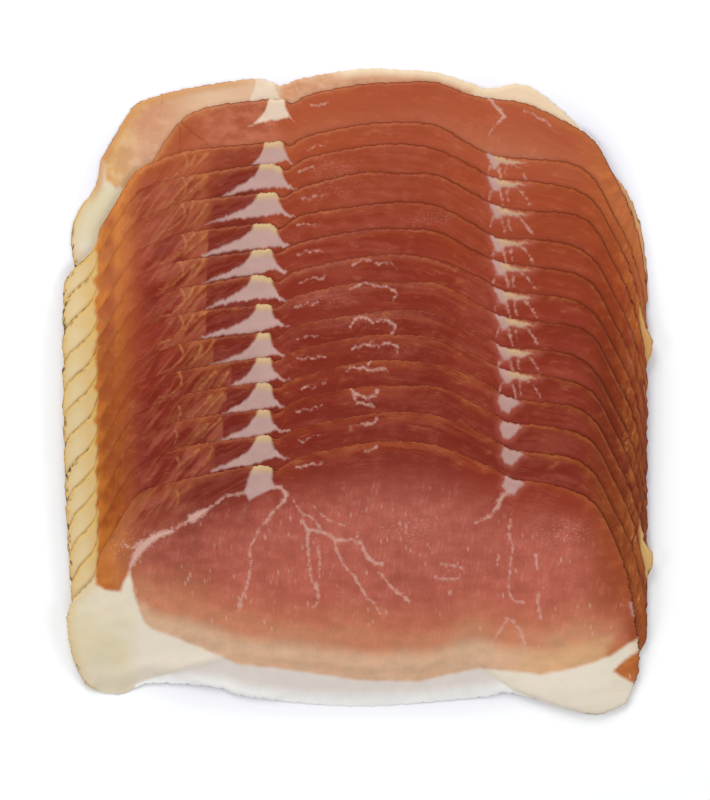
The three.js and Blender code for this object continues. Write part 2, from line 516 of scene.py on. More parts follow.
def owned(table: VeinTable, number: int) -> tuple[Vein, ...]:
    """The veins of one slice in a table of veins by slice."""
    return tuple(vein for owner, vein in table if owner == number)


@dataclass(frozen=True)
class Patch:
    """A closed patch with straight sides, in slice coordinates."""

    corners: Path

    def depth(self, x: Field, y: Field) -> Field:
        """Distance to the patch's outline, where a ray to the right that crosses it an odd number of
        times starts inside.

        Args:
            x: Places across, in slice coordinates.
            y: Places along, in slice coordinates.

        Returns:
            The distances, positive inside the patch and negative outside.
        """
        ring = np.array(self.corners)
        sides = zip(self.corners, self.corners[1:] + self.corners[:1])
        away = -np.maximum.reduce([Vein(side, 0, 0).reach(x, y) for side in sides])
        inside = np.zeros(np.shape(x), bool)
        for (ax, ay), (bx, by) in zip(ring, np.roll(ring, -1, 0)):
            if ay != by:
                inside ^= ((ay > y) != (by > y)) & (x < ax + (y - ay) * (bx - ax) / (by - ay))
        return np.where(inside, away, -away)


@dataclass(frozen=True)
class Marbling:
    """Where the fat lies in a slice: wedges at the seams, the lower corner, veins and squiggles."""

    fan: Fan
    rear_wedge: Patch = Patch(
        (
            (-31.4, -21.0), (-25.6, -21.0), (-25.4, -24.2), (-24.2, -26.6), (-21.4, -28.8),
            (-24.8, -28.3), (-28.0, -28.6), (-33.4, -29.3), (-38.0, -30.1), (-46.5, -32.6),
            (-39.5, -28.9), (-36.6, -27.4), (-33.9, -25.6), (-32.3, -23.6),
        )
    )
    middle_wedge: Patch = Patch(
        (
            (-29.6, -21.0), (-26.2, -21.0), (-25.7, -24.6), (-24.9, -26.9), (-22.4, -28.2),
            (-25.6, -28.6), (-29.2, -29.5), (-34.0, -30.2), (-39.0, -31.0), (-46.5, -32.9),
            (-39.2, -29.7), (-35.6, -28.0), (-32.6, -26.0), (-30.5, -23.6),
        )
    )
    front_wedge: Patch = Patch(
        (
            (-30.4, -21.2), (-25.1, -21.2), (-25.8, -25.8), (-24.8, -28.2), (-28.6, -30.0),
            (-32.5, -32.1), (-33.8, -29.4), (-31.9, -23.7),
        )
    )
    rear_star: Patch = Patch(
        (
            (42.8, -23.0), (45.6, -24.6), (48.4, -26.0), (52.0, -27.0), (55.8, -28.2),
            (51.6, -28.9), (48.6, -28.7), (47.6, -30.2), (46.0, -30.0), (44.8, -27.0),
        )
    )
    front_star: Patch = Patch(
        (
            (43.2, -27.6), (44.4, -24.0), (46.4, -25.6), (49.2, -25.9), (50.4, -27.4), (48.6, -28.7),
            (46.9, -30.9), (44.3, -29.9),
        )
    )
    # The tabs of the right edge are fat too, and so are small bits beside it, by slice.
    tab_fat: Patch = Patch(((84.8, -90.0), (92.0, -90.0), (92.0, -50.0), (84.8, -50.0)))
    side_bits: VeinTable = (
        (6, Vein(((83.0, -58.8), (84.2, -60.6)), 0.5, 0.2)),
        (7, Vein(((82.8, -59.4), (83.8, -61.8)), 0.5, 0.3)),
        (11, Vein(((83.6, -60.0), (84.8, -62.6)), 0.6, 0.4)),
        (13, Vein(((84.0, -61.4), (85.2, -63.6)), 0.7, 0.2)),
        (15, Vein(((82.2, -63.4), (82.9, -66.2)), 0.4, 0.3)),
    )
    # Length of the wedge's tail in each slice, as a share of the longest one.
    tail_lengths: Mapping[int, float] = field(
        default_factory=lambda: {
            1: 0.3, 2: 0.5, 3: 0.5, 4: 0.75, 10: 0.95, 11: 0.72, 12: 0.74, 13: 0.86, 14: 0.82,
        }
    )
    tail_root: float = -31.5
    last_rear_wedge: int = 8  # the last slice with the rear form of wedge
    last_rear_star: int = 11
    wedge_change: float = 0.2  # how much wider or narrower a wedge is from slice to slice
    small_wedges: int = 3  # the wedges of so many hindmost slices are smaller
    small_wedge_loss: float = 0.5
    star_loss: float = 0.35
    # How far left the left lobe's dark fingers end in each slice.
    finger_ends: Mapping[int, float] = field(
        default_factory=lambda: {10: 43.0, 11: 38.2, 12: 39.4, 13: 40.6, 14: 43.0, 15: 52.0}
    )
    usual_finger_end: float = 45.2
    finger_softness: Mapping[int, float] = field(
        default_factory=lambda: {1: 0.1, 2: 0.1, 3: 0.12, 4: 0.12, 5: 0.3, 11: 0.7, 15: 0.12}
    )
    # The fat below and left of the lean, down to the cut edges.
    fat_rim: Patch = Patch(
        (
            (-95.0, -48.0), (-79.0, -50.7), (-78.5, -57.3), (-75.8, -59.1), (-71.0, -59.7),
            (-70.0, -56.7), (-68.2, -53.7), (-67.3, -58.8), (-65.8, -64.2), (-64.3, -68.4),
            (-61.6, -71.1), (-55.6, -73.2), (-48.8, -75.9), (-41.5, -78.9), (-36.8, -81.3),
            (-17.2, -83.7), (0.8, -86.4), (18.8, -86.7), (27.8, -84.5), (36.8, -82.6),
            (48.8, -84.0), (54.8, -84.6), (62.0, -83.4), (69.5, -81.4), (76.0, -79.0),
            (84.0, -73.8), (95.0, -70.0), (95.0, -110.0), (-95.0, -110.0),
        )
    )
    # Dried lean meat at the front slice's lower right end, inside that fat.
    end_wedge: Patch = Patch(
        (
            (76.8, -83.6), (79.3, -80.8), (84.2, -77.4), (90.0, -77.0), (90.0, -88.0), (83.0, -87.4),
            (79.0, -85.2),
        )
    )
    rear_fat_end: float = 60.0  # the slices behind have no fat further right than this
    rope_x: float = -78.3  # where the covered slices' fat begins
    rope_wander: float = 0.7
    rope_lengths: tuple[float, ...] = (4.0, 7.0, 11.0)
    rope_end: float = -66.0  # nearer the front than this the lower fat begins
    fan_tabs: tuple[int, ...] = (4, 12)  # the slices with a tab
    hindmost_fat_move: Span = (3.0, 2.2)
    # The part of the front slice's lower fat with no other slice under it.
    single_fat: Patch = Patch(
        (
            (-66.8, -87.6), (-60.8, -85.5), (-54.4, -84.0), (-44.0, -81.0), (-36.8, -79.0),
            (-17.2, -81.5), (0.8, -83.8), (18.8, -84.0), (30.5, -78.5), (33.8, -79.5),
            (36.8, -82.2), (42.8, -86.7), (47.2, -89.7), (54.8, -92.9), (54.0, -99.0),
            (-66.0, -99.0),
        )
    )
    front_veins: tuple[Vein, ...] = (
        Vein(((-32.5, -29.6), (-39.8, -31.2), (-43.0, -33.6)), 0.35, 0.1),
        Vein(((-43.0, -33.6), (-46.0, -35.4), (-49.6, -37.5)), 0.1, 1.3),
        Vein(((-49.6, -37.5), (-55.6, -41.4)), 0.6, -0.1),
        Vein(((-55.6, -41.4), (-60.8, -43.2), (-65.5, -47.1)), 0.6, 1.2),
        Vein(((-65.5, -47.1), (-67.6, -51.0), (-68.8, -54.9)), 1.2, 0.1),
        Vein(((-64.6, -44.6), (-67.4, -46.4), (-70.6, -45.2)), 0.5, 0.1),
        Vein(((-28.6, -29.0), (-25.1, -28.2), (-22.9, -28.5), (-21.4, -30.3), (-22.1, -32.4)), 0.35, 0.55),
        Vein(((-22.1, -32.4), (-24.8, -35.1), (-27.4, -38.4), (-29.5, -41.1)), 0.3, 0.0),
        Vein(((-29.5, -41.1), (-31.0, -43.8), (-32.2, -47.1), (-31.9, -50.1), (-31.9, -53.1)), 0.0, 0.12),
        Vein(((-31.9, -53.1), (-33.1, -57.3), (-34.6, -61.2), (-35.5, -65.0)), 0.08, 0.3),
        Vein(((-16.3, -36.6), (-16.1, -39.3), (-14.5, -41.1)), 0.0, 0.5),
        Vein(((-14.5, -41.1), (-15.1, -43.8), (-14.8, -47.4), (-14.5, -51.3)), 0.35, 0.1),
        Vein(((-14.5, -51.3), (-13.7, -55.8), (-12.2, -59.1), (-11.8, -62.1), (-13.0, -64.2)), 0.15, 0.1),
        Vein(((-12.6, -57.0), (-11.9, -60.2)), 0.45, 0.3),
        Vein(((-14.5, -41.1), (-11.8, -41.4), (-8.5, -42.6), (-6.8, -44.1)), 0.3, 0.35),
        Vein(((-6.8, -44.1), (-3.1, -44.1), (-0.8, -43.8), (0.4, -42.0)), 0.35, 0.05),
        Vein(((-6.8, -44.4), (-5.8, -48.3), (-3.8, -51.9), (-0.8, -55.2)), 0.2, 0.1),
        Vein(((-0.8, -55.2), (1.1, -58.5), (2.9, -61.2), (5.0, -63.3), (6.8, -66.0)), 0.2, 0.05),
        Vein(
            ((-0.8, -44.1), (1.1, -45.0), (1.9, -47.1), (3.4, -49.8), (5.5, -51.0), (7.0, -51.3)), 0.25, 0.35
        ),
        Vein(((6.5, -53.7), (8.8, -56.4), (10.9, -59.1), (13.3, -60.6), (15.4, -62.4)), 0.0, 0.35),
        Vein(((-11.8, -46.0), (-11.2, -50.0), (-11.6, -54.0)), 0.0, 0.05),
        Vein(((-19.5, -31.5), (-17.0, -35.5), (-13.5, -37.5), (-11.0, -40.8)), -0.1, 0.1),
        Vein(((-13.5, -33.5), (-9.5, -37.5), (-4.0, -39.8)), -0.1, 0.0),
        Vein(((46.4, -29.1), (43.4, -30.9), (41.5, -34.5)), 0.7, 0.5),
        Vein(((41.5, -34.5), (38.5, -37.5), (34.9, -39.0)), 0.4, 0.0),
        Vein(((46.4, -36.3), (45.6, -39.5), (45.4, -42.3)), -0.1, 0.3),
        Vein(((45.4, -42.3), (46.4, -47.1), (45.8, -51.9), (45.4, -57.9)), 0.05, 0.1),
        Vein(((45.4, -57.9), (46.4, -62.1), (50.0, -62.8)), 0.15, 0.1),
        Vein(((45.1, -67.5), (41.5, -73.5), (40.0, -75.3)), 0.25, 0.0),
        Vein(((45.1, -67.5), (47.5, -69.3), (49.9, -74.1), (50.5, -78.3)), 0.25, 0.05),
        Vein(((53.5, -48.9), (53.9, -53.1)), 0.4, -0.05),
        Vein(((55.6, -58.5), (54.1, -62.1), (55.0, -67.5)), -0.05, 0.3),
        Vein(((25.3, -51.3), (28.0, -51.6), (31.2, -52.4)), 0.2, 0.1),
        Vein(((23.3, -55.4), (27.0, -55.8), (30.4, -55.6)), 0.2, 0.05),
        Vein(((42.4, -48.5), (41.8, -52.0)), 0.1, 0.0),
    )
    star_branches: tuple[Vein, ...] = (
        Vein(((47.6, -28.0), (48.6, -31.0), (49.4, -34.5)), 0.3, 0.0),
        Vein(((50.6, -28.4), (50.4, -31.0), (51.0, -33.0)), 0.15, -0.05),
        Vein(((52.4, -28.4), (54.6, -30.8), (56.2, -34.2)), 0.15, -0.05),
        Vein(((45.4, -29.2), (44.4, -32.0)), 0.3, 0.0),
    )
    second_star: tuple[Vein, ...] = (
        Vein(((45.4, -25.4), (48.0, -28.4), (50.5, -30.9)), 0.3, 0.5),
        Vein(((50.5, -30.9), (48.5, -33.5), (44.5, -37.2)), 0.4, 0.0),
        Vein(((56.0, -29.0), (61.0, -31.5)), 0.3, 0.1),
    )
    wedge_tip: Vein = Vein(((-25.2, -27.0), (-22.6, -28.4), (-20.4, -28.6)), 0.45, 0.0)
    # Fold creases of the hindmost two slices, painted as lines of shade, and the front slice's hook, by
    # slice.
    own_streaks: VeinTable = (
        (1, Vein(((-58.5, -29.0), (-59.5, -33.0), (-58.8, -37.0)), 0.0, -0.2)),
        (2, Vein(((-54.0, -26.0), (-53.4, -31.0), (-54.0, -37.5)), 0.1, 0.0)),
        (2, Vein(((-53.4, -26.4), (-50.4, -31.0), (-46.0, -35.6)), 0.15, 0.1)),
        (2, Vein(((-50.0, -25.6), (-50.2, -27.5)), 0.0, -0.1)),
        (15, Vein(((-54.2, -29.6), (-53.6, -31.2), (-54.2, -33.4)), 0.3, 0.2)),
    )
    # The creamy hook of the other slices: long up to the last rear star, and short after it.
    long_hook: Path = ((-53.0, -26.4), (-51.9, -28.6), (-52.6, -31.0), (-55.6, -33.3), (-59.4, -34.4))
    short_hook: Path = ((-54.2, -29.4), (-53.6, -31.0), (-54.4, -33.4))
    # The golden lines beside it: how far past the fingers each begins, and its length.
    streak_lines: tuple[Span, ...] = ((0.4, 11.0), (4.2, 9.0))
    # Pale lines near the middle lobe's upper edge, by slice.
    squiggle_lines: VeinTable = (
        (8, Vein(((-2.2, -18.4), (1.4, -16.0), (5.2, -17.2), (9.8, -17.0), (11.6, -19.0)), 0.0, 0.1)),
        (9, Vein(((-2.2, -17.5), (2.2, -15.3), (4.6, -16.0), (8.8, -16.0), (11.8, -17.5)), 0.15, 0.3)),
        (9, Vein(((11.8, -17.5), (10.6, -19.8)), 0.25, -0.05)),
        (10, Vein(((-2.2, -19.2), (-0.2, -16.4), (2.8, -16.6), (4.6, -17.8), (7.6, -17.2)), 0.1, 0.4)),
        (10, Vein(((7.6, -17.2), (11.2, -18.9), (10.6, -21.0), (9.2, -22.5)), 0.35, 0.0)),
        (11, Vein(((-1.6, -19.2), (-0.2, -18.0), (2.8, -17.7), (4.6, -16.2)), 0.25, 0.15)),
        (11, Vein(((2.8, -17.7), (4.6, -17.9), (7.6, -17.4)), 0.4, 0.1)),
        (11, Vein(((7.6, -17.4), (10.4, -17.2), (12.2, -18.4), (11.8, -20.2)), 0.4, 0.0)),
        (12, Vein(((-3.2, -17.8), (-1.4, -16.8), (2.2, -17.0), (3.8, -14.9)), 0.2, 0.15)),
        (12, Vein(((2.8, -17.4), (4.6, -17.7), (6.8, -16.8), (8.8, -17.8)), 0.25, 0.1)),
        (13, Vein(((-2.0, -15.9), (-0.2, -19.6), (4.6, -20.6)), 0.1, 0.4)),
        (13, Vein(((-1.4, -16.4), (2.2, -18.4), (4.8, -18.0), (5.8, -15.7)), 0.35, 0.3)),
        (14, Vein(((-2.4, -19.6), (-1.2, -18.2), (2.8, -18.0)), 0.0, 0.1)),
        (14, Vein(((2.8, -18.0), (5.4, -17.4), (5.8, -16.0)), 0.35, 0.15)),
        (15, Vein(((2.4, -17.4), (4.6, -17.0), (5.6, -15.9)), 0.0, 0.15)),
    )
    # Where the lean of a covered slice ends, for the number of layers that light passes.
    lower_rim: tuple[int, int] = (9, 25)  # the corners of the fat rim along the lower end of the lean
    lean_shift: float = 0.86  # of the slices' own shifts
    lean_wander: float = 2.2
    wander_lengths: tuple[float, ...] = (17.0, 31.0, 53.0)
    side_drop: float = 2.4
    side_zone: Span = (35.0, 60.0)
    end_fade: Span = (-2.6, 3.6)
    least_cover: float = 0.8  # layers that a covered slice counts at least, for each of its number
    second_cover: float = 0.5  # more layers of the second slice
    outer_cover: float = 2.6  # layers at the front slice's outer ends
    outer_left: Span = (64.0, 72.0)
    outer_right: Span = (66.0, 84.0)
    # Moist patches, with painted sheen: the slice, the middle, the reaches along X and Y and the strength.
    sheens: tuple[tuple[int, float, float, float, float, float], ...] = (
        (4, -8.0, -22.5, 7.0, 3.6, 1.0),
        (5, -7.0, -20.0, 8.0, 3.4, 0.7),
        (6, 24.0, -19.5, 8.0, 2.6, 0.8),
        (9, -12.0, -20.5, 9.0, 3.0, 0.9),
        (10, 3.0, -17.0, 14.0, 2.2, 0.7),
        (11, 14.0, -19.0, 10.0, 2.2, 0.5),
        (15, 15.0, -39.5, 8.5, 4.6, 1.0),
        (15, 61.0, -41.5, 8.0, 3.8, 1.0),
        (15, -71.0, -46.0, 4.5, 3.6, 1.3),
        (15, -64.0, -44.5, 3.6, 3.0, 0.9),
    )

    def squiggles(self, number: int) -> tuple[Vein, ...]:
        """The pale lines near the middle lobe's upper edge, with a golden wiggle beside the wedge.

        Args:
            number: The slice.

        Returns:
            The slice's own lines and a wiggle whose course is drawn with the slice's number as seed.
        """
        rng = np.random.default_rng(SEED + 7 * number)
        start = -19.5 + rng.uniform(-1.2, 1.2)
        xs = start + np.cumsum(rng.uniform(0.8, 2.0, 6))
        ys = -22.0 + 0.18 * (xs + 19) - rng.uniform(0.4, 1.2) + rng.uniform(-0.7, 0.7, 6)
        wiggle = Vein(tuple(zip(xs.tolist(), ys.tolist())), 0.12, 0.0)
        return (*owned(self.squiggle_lines, number), wiggle)

    def streaks(self, number: int) -> tuple[Vein, ...]:
        """The golden lines of the left lobe, which run down and to the left, and its creamy hook.

        Args:
            number: The slice.

        Returns:
            The slice's own lines, or else some seeded with its number.
        """
        own = owned(self.own_streaks, number)
        if own:
            return own
        rng = np.random.default_rng(SEED + 13 * number)
        end = self.finger_ends.get(number, self.usual_finger_end)
        lines = []
        for offset, length in self.streak_lines:
            x, y = -end - offset + rng.uniform(-0.5, 0.5), -25.4 - 0.28 * offset + rng.uniform(-0.8, 0.8)
            angle = math.radians(rng.uniform(40, 58))
            bow = rng.uniform(-0.6, 1.4)
            share = np.linspace(0, 1, 6)
            xs = x - share * length * math.cos(angle) + bow * np.sin(share * math.pi)
            ys = y - share * length * math.sin(angle)
            lines.append(Vein(tuple(zip(xs.tolist(), ys.tolist())), 0.3, -0.1))
        shift = rng.uniform(-0.7, 0.7)
        hook = self.short_hook if number > self.last_rear_star else self.long_hook
        lines.append(Vein(tuple((x + shift, y) for x, y in hook), 0.25, 0.0))
        return tuple(lines)

    def seam_fat(self, number: int, x: Field, y: Field) -> Field:
        """How deep a point lies inside the fat of the two seams, in millimetres.

        Left of its root the wedge's tail is drawn out or in by the slice's tail length.

        Args:
            number: The slice.
            x: Places across, in slice coordinates.
            y: Places along, in slice coordinates.

        Returns:
            The depths, negative in lean meat.
        """
        is_front = number == self.fan.count
        middle = number > self.last_rear_wedge
        wedge = self.front_wedge if is_front else self.middle_wedge if middle else self.rear_wedge
        star = self.front_star if number > self.last_rear_star else self.rear_star
        tail = self.tail_lengths.get(number, 1.0)
        drawn = np.where(x < self.tail_root, self.tail_root + (x - self.tail_root) / tail, x)
        depth = wedge.depth(drawn, y) + self.wedge_change * math.sin(2.3 * number)
        depth = depth - self.small_wedge_loss * (number <= self.small_wedges)
        if number > SECOND:
            depth = np.maximum(depth, star.depth(x, y) - self.star_loss)
        bits = (bit.reach(x, y) for bit in owned(self.side_bits, number))
        return np.maximum.reduce([depth, *bits])

    def corner_fat(self, number: int, x: Field, y: Field) -> Field:
        """How deep a point lies inside the fat below and left of the lean, in millimetres.

        Args:
            number: The slice.
            x: Places across, in slice coordinates.
            y: Places along, in slice coordinates.

        Returns:
            The depths, negative in lean meat.
        """
        if number == self.fan.count:
            return np.minimum(self.fat_rim.depth(x, y), -self.end_wedge.depth(x, y))
        move_x, move_y = self.hindmost_fat_move if number == 1 else (0.0, 0.0)
        depth = np.minimum(self.fat_rim.depth(x - move_x, y - move_y), self.rear_fat_end - x)
        if number > SECOND:
            wander = self.rope_wander * Waves(SEED + number, self.rope_lengths).along(y)
            depth = np.where(y > self.rope_end, self.rope_x - x + wander, depth)
        return np.maximum(depth, self.tab_fat.depth(x, y)) if number in self.fan_tabs else depth

    def veins(self, number: int, x: Field, y: Field) -> Field:
        """How deep a point lies inside a white vein, in millimetres.

        Args:
            number: The slice.
            x: Places across, in slice coordinates.
            y: Places along, in slice coordinates.

        Returns:
            The depths, negative beside the veins.
        """
        if number == self.fan.count:
            lines = self.front_veins
        elif number > self.last_rear_star:
            lines = (self.wedge_tip,)
        elif number > SECOND:
            lines = (self.wedge_tip, *self.star_branches)
        else:
            lines = self.second_star if number == SECOND else ()
        lines = (*lines, *self.squiggles(number))
        return np.maximum.reduce([line.reach(x, y) for line in lines])

    def gilt(self, number: int, x: Field, y: Field) -> Field:
        """How deep a point lies inside a golden streak, in millimetres."""
        return np.maximum.reduce([line.reach(x, y) for line in self.streaks(number)])

    def past_fingers(self, number: int, x: Field) -> Field:
        """How far left of the dark fingers a point lies, which changes slowly where their end is soft."""
        softness = self.finger_softness.get(number, 1.0)
        return softness * (-x - self.finger_ends.get(number, self.usual_finger_end))

    def sheen(self, number: int, x: Field, y: Field) -> Field:
        """Share of moist meat with painted sheen: the sum of the slice's patches, each a bell both ways.

        Args:
            number: The slice.
            x: Places across, in slice coordinates.
            y: Places along, in slice coordinates.

        Returns:
            The shares.
        """
        share = np.zeros(np.shape(x))
        for owner, middle_x, middle_y, reach_x, reach_y, strength in self.sheens:
            if owner == number:
                share = share + strength * bell(x - middle_x, reach_x) * bell(y - middle_y, reach_y)
        return share

    def lean_layers(self, number: int, x: Field, y: Field) -> Field:
        """Slices of lean meat that light passes on its way down, the slice's own one among them.

        A slice below counts where the point lies behind the lower end of its lean meat, with a soft edge.
        A covered slice counts a share of its number at least, and the outer ends of the front one count
        as more than two.

        Args:
            number: The slice.
            x: Places across the fan.
            y: Places along the fan.

        Returns:
            The number of layers.
        """
        rim = np.array(self.fat_rim.corners[slice(*self.lower_rim)])
        layers = np.ones(np.shape(x))
        lean_end = np.interp(x, np.maximum.accumulate(rim[:, 0]), rim[:, 1])
        wander = self.lean_wander * Waves(SEED, self.wander_lengths).along(x)
        sides = self.side_drop * smooth_ramp(np.abs(x), *self.side_zone)
        for below in range(1, number):
            end = lean_end + self.fan.shift(below) * self.lean_shift + wander * math.cos(below) - sides
            layers = layers + smooth_ramp(y - end, *self.end_fade)
        if number < self.fan.count:
            return np.maximum(layers + self.second_cover * (number == SECOND), self.least_cover * number)
        outer = np.maximum(smooth_ramp(-x, *self.outer_left), smooth_ramp(x, *self.outer_right))
        return np.maximum(layers, self.outer_cover * outer)


@dataclass(frozen=True)
class Grading:
    """Shares from 0 to 1 for the rows or columns of a sheet: fine rings at both rims, zones between."""

    length: float
    zones: Zones  # each ends at a distance and holds a number of cells
    rings: tuple[float, ...] = (0.05, 0.15, 0.3, 0.5)

    def shares(self) -> Field:
        """Works them out.

        Returns:
            The shares, both rims included.
        """
        stops = [0.0, *self.rings]
        for end, cells in self.zones:
            start = stops[-1]
            stops.extend(start + (end - start) * (i + 1) / cells for i in range(cells))
        last = self.length - self.rings[-1]
        stops[-1] = last
        stops.extend(self.length - ring for ring in reversed((0.0, *self.rings[:-1])))
        return np.array(stops) / self.length


@dataclass
class SliceFields:
    """What the finish reads at each point of a slice."""

    place: Field
    rim: Field
    below: Field
    cover: Field
    seam: Field
    corner: Field
    single: Field
    vein: Field
    gilt: Field
    gold: Field
    lobe: Field
    sheen: Field


@dataclass
class Slice:
    """One slice: a closed sheet with a rounded cut edge, and the fields that its finish reads."""

    number: int
    fan: Fan
    outline: Outline
    marbling: Marbling
    taper: float = 1.1  # width of the slope at the cut edge
    edge_height: float = 0.14  # of the rim above the lower face
    rim_width: float = 0.4  # the lower face comes down from the rim over this way
    melted_edge: float = 0.6  # share of the rim's height lost where the edge clings
    filling: float = 0.18  # the underside reaches this far down to the slice below
    crest: float = 0.3  # how far the exposed upper edge stands up in places
    crest_reach: float = 2.2
    crest_share: float = 0.45  # the larger, the more of the edge stands up
    left_crest: float = 0.4  # its height at the left, as a share of that at the right
    crest_zone: Span = (-4.0, 12.0)
    unevenness: float = 0.07
    width: float = 175.5
    depth: float = 76.5
    # Rows and columns: how far each zone reaches, and its number of cells.
    front_columns: Zones = ((44.0, 80), (106.0, 190), (175.0, 116))
    rear_columns: Zones = ((44.0, 110), (106.0, 150), (144.0, 80), (175.0, 62))
    front_rows: Zones = ((9.0, 22), (50.0, 118), (76.0, 32))
    rear_rows: Zones = ((13.0, 32), (30.0, 14), (76.0, 22))
    corner_draw: float = 12.0
    corner_pull: float = 0.13
    pull_direction: Span = (-0.89, -0.45)
    wave_depth: float = 3.0  # how far in from an edge its small waves reach
    melted_taper: float = 4.5  # added to the taper where the edge clings to the slice below
    # Where it clings: from not at all to wholly and from wholly to not at all, and in which slices.
    melted_lobe: tuple[float, ...] = (-80.0, -77.0, -58.0, -44.0)
    melted_lobe_slices: Span = (2.5, 4.5)
    melted_middle: tuple[float, ...] = (-26.0, -20.0, 34.0, 46.0)
    melted_middle_slices: Span = (6.5, 9.5)
    middle_melt: float = 0.7
    right_loss: float = 0.15
    right_loss_zone: Span = (-8.0, 4.0)
    calm_rim: float = 1.5  # the crest and the unevenness fade out over this way from the outline
    # Relief of the front slice: the step round its single fat, and pleats, each with its place across,
    # its slant, the place along where it is measured, its half width and its share of their height.
    step_height: float = 0.5
    step_rise: Span = (-0.1, 1.0)
    step_fade: Span = (-9.0, -2.0)
    pleat_height: float = 0.28
    relief_zone: Span = (76.0, 82.0)
    pleats: tuple[tuple[float, ...], ...] = (
        (-36.0, 0.15, -80.0, 1.2, 1.0), (-31.0, 0.0, 0.0, 2.0, 0.6), (6.0, 0.3, -85.0, 2.5, 0.7),
    )
    # The golden band along the outline: its width, what is added at both ends, and where.
    gold_band: float = 1.6
    left_band: float = 4.0
    right_band: float = 3.5
    left_band_zone: Span = (62.0, 74.0)
    right_band_zone: Span = (64.0, 78.0)
    whole_bands: int = 3  # so many hindmost slices have it at the left too
    bare_left: Span = (-58.0, -46.0)
    # The golden ends, and how the front slice's gold fades out towards its lower edge.
    gold_left: Span = (63.5, 74.0)
    gold_right: Span = (64.0, 77.0)
    right_share: float = 0.9
    front_right: Span = (60.0, 72.0)
    front_loss: float = 0.8
    low_gold: Span = (-90.0, -82.0)
    body: str = "root"
    slot: str = "cured_meat"

    @property
    def is_front(self) -> bool:
        """Whether this is the slice that is wholly seen."""
        return self.number == self.fan.count

    def columns(self) -> Field:
        """Shares of the columns, closer together where the veins are."""
        return Grading(self.width, self.front_columns if self.is_front else self.rear_columns).shares()

    def rows(self) -> Field:
        """Shares of the rows, closer together in the part that shows."""
        return Grading(self.depth, self.front_rows if self.is_front else self.rear_rows).shares()

    def plan(self) -> Field:
        """The grid of points seen from above, which blends the two edges beside each row and column.

        With u across and v down: the mix of upper and lower edge by v, plus the mix of left and right
        edge by u, minus the mix of the four corners by both. The outline is nearly straight at the upper
        right corner, so the points near it are drawn inwards by the product of their distances from the
        two edges, which fades out. The small waves of an edge fade out over a short way.

        Returns:
            An array of rows by columns by x and y.
        """
        u, v = self.columns(), self.rows()
        sides = {Side.UPPER: u, Side.LOWER: u, Side.LEFT: v, Side.RIGHT: v}
        edges = {side: self.outline.edge(self.number, side, shares) for side, shares in sides.items()}
        waves = {side: self.outline.frills(self.number, side, points) for side, points in edges.items()}
        upper, lower = edges[Side.UPPER][None], edges[Side.LOWER][None]
        left, right = edges[Side.LEFT][:, None], edges[Side.RIGHT][:, None]
        u, v = u[None, :, None], v[:, None, None]
        between = (1 - v) * upper + v * lower + (1 - u) * left + u * right
        top = (1 - u) * upper[:, :1] + u * upper[:, -1:]
        bottom = (1 - u) * lower[:, :1] + u * lower[:, -1:]
        grid = between - (1 - v) * top - v * bottom
        across, down = (1 - u) * self.width, v * self.depth
        drawn = across * down * bell(across, self.corner_draw) * bell(down, self.corner_draw)
        grid = grid + self.corner_pull * drawn * np.array(self.pull_direction)
        ways = {
            Side.UPPER: down,
            Side.LOWER: self.depth - down,
            Side.LEFT: self.width - across,
            Side.RIGHT: across,
        }
        for side, way in ways.items():
            wave = waves[side][None] if side in (Side.UPPER, Side.LOWER) else waves[side][:, None]
            grid = grid + wave * np.clip(1 - way / self.wave_depth, 0, 1) ** 2
        return grid

    def rim_distance(self, plan: Field, spacing: float = 0.12, chunk: int = 4000) -> Field:
        """Distance of each grid point to the slice's outline, measured to close points along it.

        Args:
            plan: The grid of points.
            spacing: Way between two points of the outline.
            chunk: Number of grid points worked out at once.

        Returns:
            The distances, as rows by columns.
        """
        ring = np.concatenate([plan[0], plan[1:, -1], plan[-1, -2::-1], plan[-2::-1, 0]])
        run = np.concatenate([[0], np.cumsum(np.hypot(*np.diff(ring, axis=0).T))])
        even = np.arange(0, run[-1], spacing)
        outline = np.stack([np.interp(even, run, ring[:, 0]), np.interp(even, run, ring[:, 1])], 1)
        points = plan.reshape(-1, 2)
        square = (outline**2).sum(1)
        nearest = [
            ((part**2).sum(1)[:, None] + square - 2 * part @ outline.T).min(1)
            for part in np.array_split(points, max(1, len(points) // chunk))
        ]
        distance = np.sqrt(np.maximum(np.concatenate(nearest), 0)).reshape(plan.shape[:2])
        distance[[0, -1], :] = 0
        distance[:, [0, -1]] = 0
        return distance

    def melt(self, x: Field) -> Field:
        """Share by which the upper edge clings to the slice below: in the left lobe, but not in its fat,
        and in the middle of the lower slices, less so at the right.

        Args:
            x: Places across.

        Returns:
            The shares.
        """
        lobe = plateau(x, *self.melted_lobe) * smooth_ramp(self.number, *self.melted_lobe_slices)
        middle = plateau(x, *self.melted_middle) * smooth_ramp(self.number, *self.melted_middle_slices)
        share = self.middle_melt - self.right_loss * smooth_ramp(x, *self.right_loss_zone)
        return np.maximum(lobe, share * middle)

